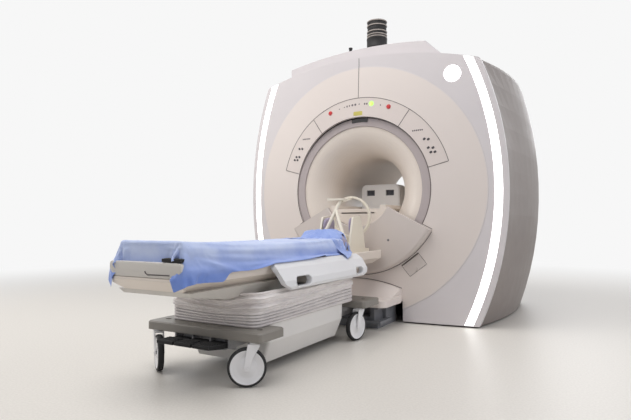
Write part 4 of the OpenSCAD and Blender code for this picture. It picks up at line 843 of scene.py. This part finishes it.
def mattress():
    """Navy pad with rounded shoulders and pinched ends, and its piping."""
    half = [(0.0, 0.0), (0.10, 0.0), (0.165, -0.0006), (0.195, -0.005), (0.210, -0.014), (0.2185, -0.030),
            (PAD_HALF, -0.050)]
    low = CRADLE_TOP - 0.0345
    rows = []
    n = 90
    for i in range(n + 1):
        y = PAD_FOOT + 0.001 + (PAD_HEAD - PAD_FOOT - 0.002) * i / n
        top = pad_top(y) - 0.001
        end = min(y - PAD_FOOT, PAD_HEAD - y)
        pull = 0.018 * (1 - min(end / 0.02, 1.0)) ** 2
        right = [(x - pull * (x / 0.22), top + d - pull * 0.8) for x, d in half]
        right += [(PAD_HALF - pull, low + 0.042), (0.214 - pull, low + 0.02), (0.199 - pull, low + 0.002),
                  (0.10, low), (0.0, low)]
        loop = right + [(-x, z) for x, z in reversed(right[1:-1])]
        rows.append([(x, y, z) for x, z in loop])
    form = Form().grid(rows, closed=True, cap=True)
    piece = form.make("mattress_pad", "mattress", "table_top", "mattress", 60)
    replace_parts(piece, "mattress")
    welt = Form()
    for side in (-1, 1):
        ys = np.linspace(PAD_FOOT + 0.03, PAD_HEAD - 0.02, 60)
        welt.tube([(side * 0.2190, y, pad_top(y) - 0.040) for y in ys], 0.0022, 8)
    welt.make("mattress_piping", "mattress", "table_top", "mattress")
    return piece


def cloth_grid(name, look_name, reach, ys, height, n):
    """Flat weave of points over a height; reach(y) is the half width of the cut there."""
    verts = []
    for y in ys:
        half = reach(y)
        for k in range(n + 1):
            x = half * (2 * k / n - 1)
            verts.append((x, y, height(x, y)))
    faces = [(i * (n + 1) + j, i * (n + 1) + j + 1, (i + 1) * (n + 1) + j + 1, (i + 1) * (n + 1) + j)
             for i in range(len(ys) - 1) for j in range(n)]
    return add(name, verts, faces, look_name, smooth=180, uvs=[(x, y) for x, y, z in verts])


def obstacle(name, mesh):
    """A collision body for the cloths, removed once they have settled."""
    block = bpy.data.objects.new("obstacle_" + name, mesh)
    bpy.context.scene.collection.objects.link(block)
    block.modifiers.new("collision", "COLLISION")
    block.collision.thickness_outer = 0.003
    block.collision.thickness_inner = 0.02
    block.collision.cloth_friction = 25
    return block


def settle(piece, obstacles, frames, slack, bending=0.4):
    """Drops a cloth on its obstacles and keeps the shape it takes."""
    cloth = piece.modifiers.new("cloth", "CLOTH")
    settings = cloth.settings
    settings.quality = 6
    settings.mass = 0.25
    settings.tension_stiffness = 18
    settings.compression_stiffness = 12
    settings.shear_stiffness = 5
    settings.bending_stiffness = bending
    settings.air_damping = 2.0
    settings.shrink_min = -slack
    hits = cloth.collision_settings
    hits.collision_quality = 3
    hits.distance_min = 0.003
    hits.friction = 12
    hits.use_self_collision = True
    hits.self_distance_min = 0.003
    cloth.point_cache.frame_start = 1
    cloth.point_cache.frame_end = frames
    for frame_number in range(1, frames + 1):
        bpy.context.scene.frame_set(frame_number)
    shaped = piece.evaluated_get(bpy.context.evaluated_depsgraph_get())
    mesh = shaped.to_mesh()
    points = [v.co.copy() for v in mesh.vertices]
    shaped.to_mesh_clear()
    piece.modifiers.clear()
    for vert, point in zip(piece.data.vertices, points):
        vert.co = point
    for block in obstacles:
        bpy.data.objects.remove(block)
    bpy.context.scene.frame_set(1)


def lift_clear(piece, blocks, gap=0.0035):
    """Moves each point that lies within, or too near, a closed form out to its skin."""
    for mesh in blocks:
        verts = [v.co.copy() for v in mesh.vertices]
        middle = sum(verts, Vector()) / len(verts)
        outward = 1 if sum(p.area * p.normal.dot(p.center - middle) for p in mesh.polygons) > 0 else -1
        tree = BVHTree.FromPolygons(verts, [list(p.vertices) for p in mesh.polygons])
        for vert in piece.data.vertices:
            place, normal, _, away = tree.find_nearest(vert.co, 0.08)
            if place is None:
                continue
            normal = normal * outward
            inside = (vert.co - place).dot(normal) < 0
            if inside or away < gap:
                vert.co = place + normal * gap


def lay_over(piece, mesh, gap, folds):
    """Lays a cloth over a form from above, in loose folds."""
    tree = BVHTree.FromPolygons([v.co.copy() for v in mesh.vertices], [list(p.vertices) for p in mesh.polygons])
    for vert in piece.data.vertices:
        place = tree.ray_cast(Vector((vert.co.x, vert.co.y, 2.0)), Vector((0, 0, -1)))[0]
        if place is not None:
            p = Vector((vert.co.x * 9 + vert.co.y * 5, vert.co.y * 12 - vert.co.x * 3, 4.0))
            ridge = max(0.0, 1 - 3.2 * abs(noise.noise(p)))
            ridge += 0.5 * max(0.0, 1 - 3.0 * abs(noise.noise(p * 2.1)))
            vert.co.z = max(vert.co.z, place.z + gap + folds * ridge)


def rumple(piece, size, scale, layer, where=lambda p: 1.0):
    """Fine creases: moves each point along its normal by ridged noise, taken at a height of its own."""
    piece.data.update()
    normals = [v.normal.copy() for v in piece.data.vertices]
    for vert, normal in zip(piece.data.vertices, normals):
        p = vert.co * scale + Vector((0, 0, layer))
        ridge = 1 - abs(noise.noise(p)) * 2.2
        vert.co += normal * size * where(vert.co) * (0.6 * ridge + 0.4 * noise.noise(p * 2.3))


SHEET_HALF, SHEET_FOOT, SHEET_HEAD = 0.338, -3.214, -1.592
# Slope, start and depth of the folds that leave the mattress's foot corners
FOLDS = ((0.030, 0.010, 0.010), (0.075, 0.034, 0.009), (0.30, 0.050, 0.011), (-0.010, -0.030, 0.006))


def sheet_reach(y):
    """Half width of the flat sheet: wider towards the foot, with a gently uneven hem."""
    wider, narrower = smoothstep(2.84, 2.90, -y), smoothstep(-2.3, -1.6, y)
    return SHEET_HALF + 0.046 * wider - 0.022 * narrower + 0.003 * math.sin(9 * y)


def fan_folds(piece):
    """Soft folds that run from each foot corner of the mattress along the drop."""
    flat = {}
    for loop in piece.data.loops:
        flat[loop.vertex_index] = piece.data.uv_layers[0].data[loop.index].uv.copy()
    normals = [v.normal.copy() for v in piece.data.vertices]
    for vert in piece.data.vertices:
        u, v = flat[vert.index]
        along, across = v + 3.10, abs(u) - 0.205
        if along < -0.02 or across < -0.06:
            continue
        push = 0.0
        for slope, start, depth in FOLDS:
            away = across - (start + slope * along + 0.006 * math.sin(5 * along + 9 * slope))
            width = 0.009 + 0.012 * along
            push += depth * math.exp(-(away / width) ** 2) * (1 - 0.5 * smoothstep(0.4, 1.4, along))
        vert.co += normals[vert.index] * push * smoothstep(0.0, 0.16, along)


def sheet():
    """Blue sheet draped over the mattress, its hems on the rails."""
    n, m = ((70, 156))
    ys = [SHEET_FOOT + (SHEET_HEAD - SHEET_FOOT) * k / m for k in range(m + 1)]

    def start(x, y):
        over = max(0.0, -3.13 - y)
        return pad_top(y) + 0.012 + 0.003 * wobble(x, y, 2.2, 6, 2) - 0.05 * over

    piece = cloth_grid("sheet_cloth", "sheet", sheet_reach, ys, start, n)
    under = ("mattress", "side_rail_left", "side_rail_right", "cradle", "table_frame")
    blocks = [obstacle(name, nodes[name].data.copy()) for name in under]
    settle(piece, blocks, 34, slack=0.012)
    fan_folds(piece)
    rumple(piece, 0.0030, 13, 4.0, lambda p: 0.5 + 1.0 * smoothstep(-2.1, -1.7, p.y))
    lift_clear(piece, [pad.data])
    modify(piece, "SOLIDIFY", thickness=0.0014, offset=1)
    modify(piece, "SUBSURF", levels=1, render_levels=1)
    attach(piece, "table_top")
    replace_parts(piece, "sheet")


def head_cushion():
    """Low wedge cushion under the crumpled cloth, before the head coil."""
    rows = []
    for i in range(25):
        v = i / 24
        y = -1.600 + 0.235 * v
        end = math.sin(math.pi * v) ** 0.35
        width = 0.150 + 0.020 * end
        rise = (0.045 + 0.090 * math.sin(math.pi * min(v * 1.15, 1.0)) ** 0.8) * end
        base = CRADLE_TOP + 0.016 if v > 0.16 else CRADLE_TOP + 0.020
        row = []
        for k in range(32):
            a = 2 * math.pi * k / 32
            c, s_ = math.cos(a), math.sin(a)
            x = width * math.copysign(abs(c) ** 0.75, c)
            z = base + rise / 2 + rise / 2 * math.copysign(abs(s_) ** 0.8, s_)
            z += 0.003 * wobble(x, y, 1.0, 14, 2)
            row.append((x, y, z))
        rows.append(row)
    piece = Form().grid(rows, closed=True, cap=True).make("head_cushion", "pad", "table_top", "pad", 180)
    return piece


def head_cloth(cushion):
    """Crumpled cloth laid over the cushion."""
    n, m = ((56, 50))
    half, y0, y1 = 0.285, -1.780, -1.372
    ys = [y0 + (y1 - y0) * k / m for k in range(m + 1)]

    def start(x, y):
        return 0.760 + 0.030 * wobble(x, y, 8.0, 9, 3)

    piece = cloth_grid("head_cloth", "cloth", lambda y: half, ys, start, n)
    under = ("mattress", "cradle", "side_rail_left", "side_rail_right", "head_coil")
    blocks = [obstacle(name, nodes[name].data.copy()) for name in under]
    blocks.append(obstacle("cushion", cushion.data.copy()))
    settle(piece, blocks, 30, slack=0.20, bending=0.10)
    rumple(piece, 0.0070, 19, 1.0)
    lift_clear(piece, [pad.data], 0.004)
    lay_over(piece, cushion.data, 0.006, 0.013)
    modify(piece, "SOLIDIFY", thickness=0.0016, offset=1)
    modify(piece, "SUBSURF", levels=1, render_levels=1)
    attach(piece, "table_top")


pad = mattress()
cushion = head_cushion()
sheet()
head_cloth(cushion)


def head_pad(side):
    """Foam pad on a cheek of the coil: crowned, pinched between its corners, with one sewn groove."""
    y0, z0 = -1.202, 0.764
    rows = []
    for i in range(21):
        v = i / 20
        reach = math.sin(math.pi * v) ** 0.4
        row = []
        for k in range(36):
            a = 2 * math.pi * k / 36
            c, s_ = math.cos(a), math.sin(a)
            y = y0 + 0.086 * math.copysign(abs(c) ** 0.7, c) * (0.55 + 0.45 * reach)
            z = z0 + 0.066 * math.copysign(abs(s_) ** 0.7, s_) * (0.55 + 0.45 * reach)
            x = 0.1215 - 0.044 * v * (0.82 + 0.18 * math.cos(36 * (y - y0)))
            x += 0.003 * math.exp(-((z - z0) / 0.006) ** 2) * v
            row.append((side * x, y, z))
        rows.append(row)
    name = "head_pad_right" if side > 0 else "head_pad_left"
    piece = Form().grid(rows, closed=True, cap=True).make(name, "pad", "table_top", "pad", 180)
    modify(piece, "SUBSURF", levels=1, render_levels=1)
    return piece


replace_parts(head_pad(1), "head_pads")
head_pad(-1)


# ---------------------------------------------------------------- small parts of the table

# Raised rims round the hand holes of the rails
for side, key in ((1, "right"), (-1, "left")):
    rim = Form()
    skin = Skin("side_rail_" + key)
    for middle, half, tall in HAND_HOLES:
        path = []
        for k in range(49):
            t = 2 * math.pi * k / 48
            y = middle + (half - tall) * (1 if math.cos(t) > 0 else -1) + (tall + 0.004) * math.cos(t)
            z = HAND_HOLE_Z + (tall + 0.004) * math.sin(t)
            hit = skin.hit((side * 0.45, y, z), (-side, 0, 0))
            if hit:
                path.append(hit[0])
        rim.tube(path, 0.0032, 8, cap=False)
    rim.make("rail_rims_" + key, "rail", "table_top", "white_plastic")

# Cap in the cradle's foot end, with its dark latch
cap = Form()
rows = []
for y, inset in ((-3.1600, 0.007), (-3.1585, 0.002), (-3.1550, 0.0), (-3.1300, 0.0), (-3.1235, 0.003)):
    low, top = 0.5420 + inset * 0.3, 0.6120 - inset
    half = [(0.2000 - inset, low), (0.2260 - inset, CRADLE_TOP), (0.2260 - inset, top - 0.012),
            (0.2220 - inset, top - 0.004), (0.2140 - inset, top)]
    rows.append([(x, y, z) for x, z in half] + [(-x, y, z) for x, z in reversed(half)])
cap.grid(rows, closed=True, cap=True)
cap.make("cradle_cap", "frame_beige", "table_top", "coil_plastic", 30)
latch = Form()
latch.pebble((0.163, -3.141, 0.6225), (0, -1, 0), (1, 0, 0), (0.058, 0.0098), 0.014, square=8, sides=24)
latch.make("cradle_latch", "pedal", "table_top", "pedal")

# Hook slot on the cradle's foot: a dark bar, painted shade in the slot
hook = Form()
bend = ((0.010, 0.571), (0.014, 0.563), (0.026, 0.556), (0.160, 0.558))
hook.tube([(x, CAP_FACE, z) for x, z in bend], 0.0028, 8)
hook.make("cradle_slot", "gasket", "table_top", "pedal")
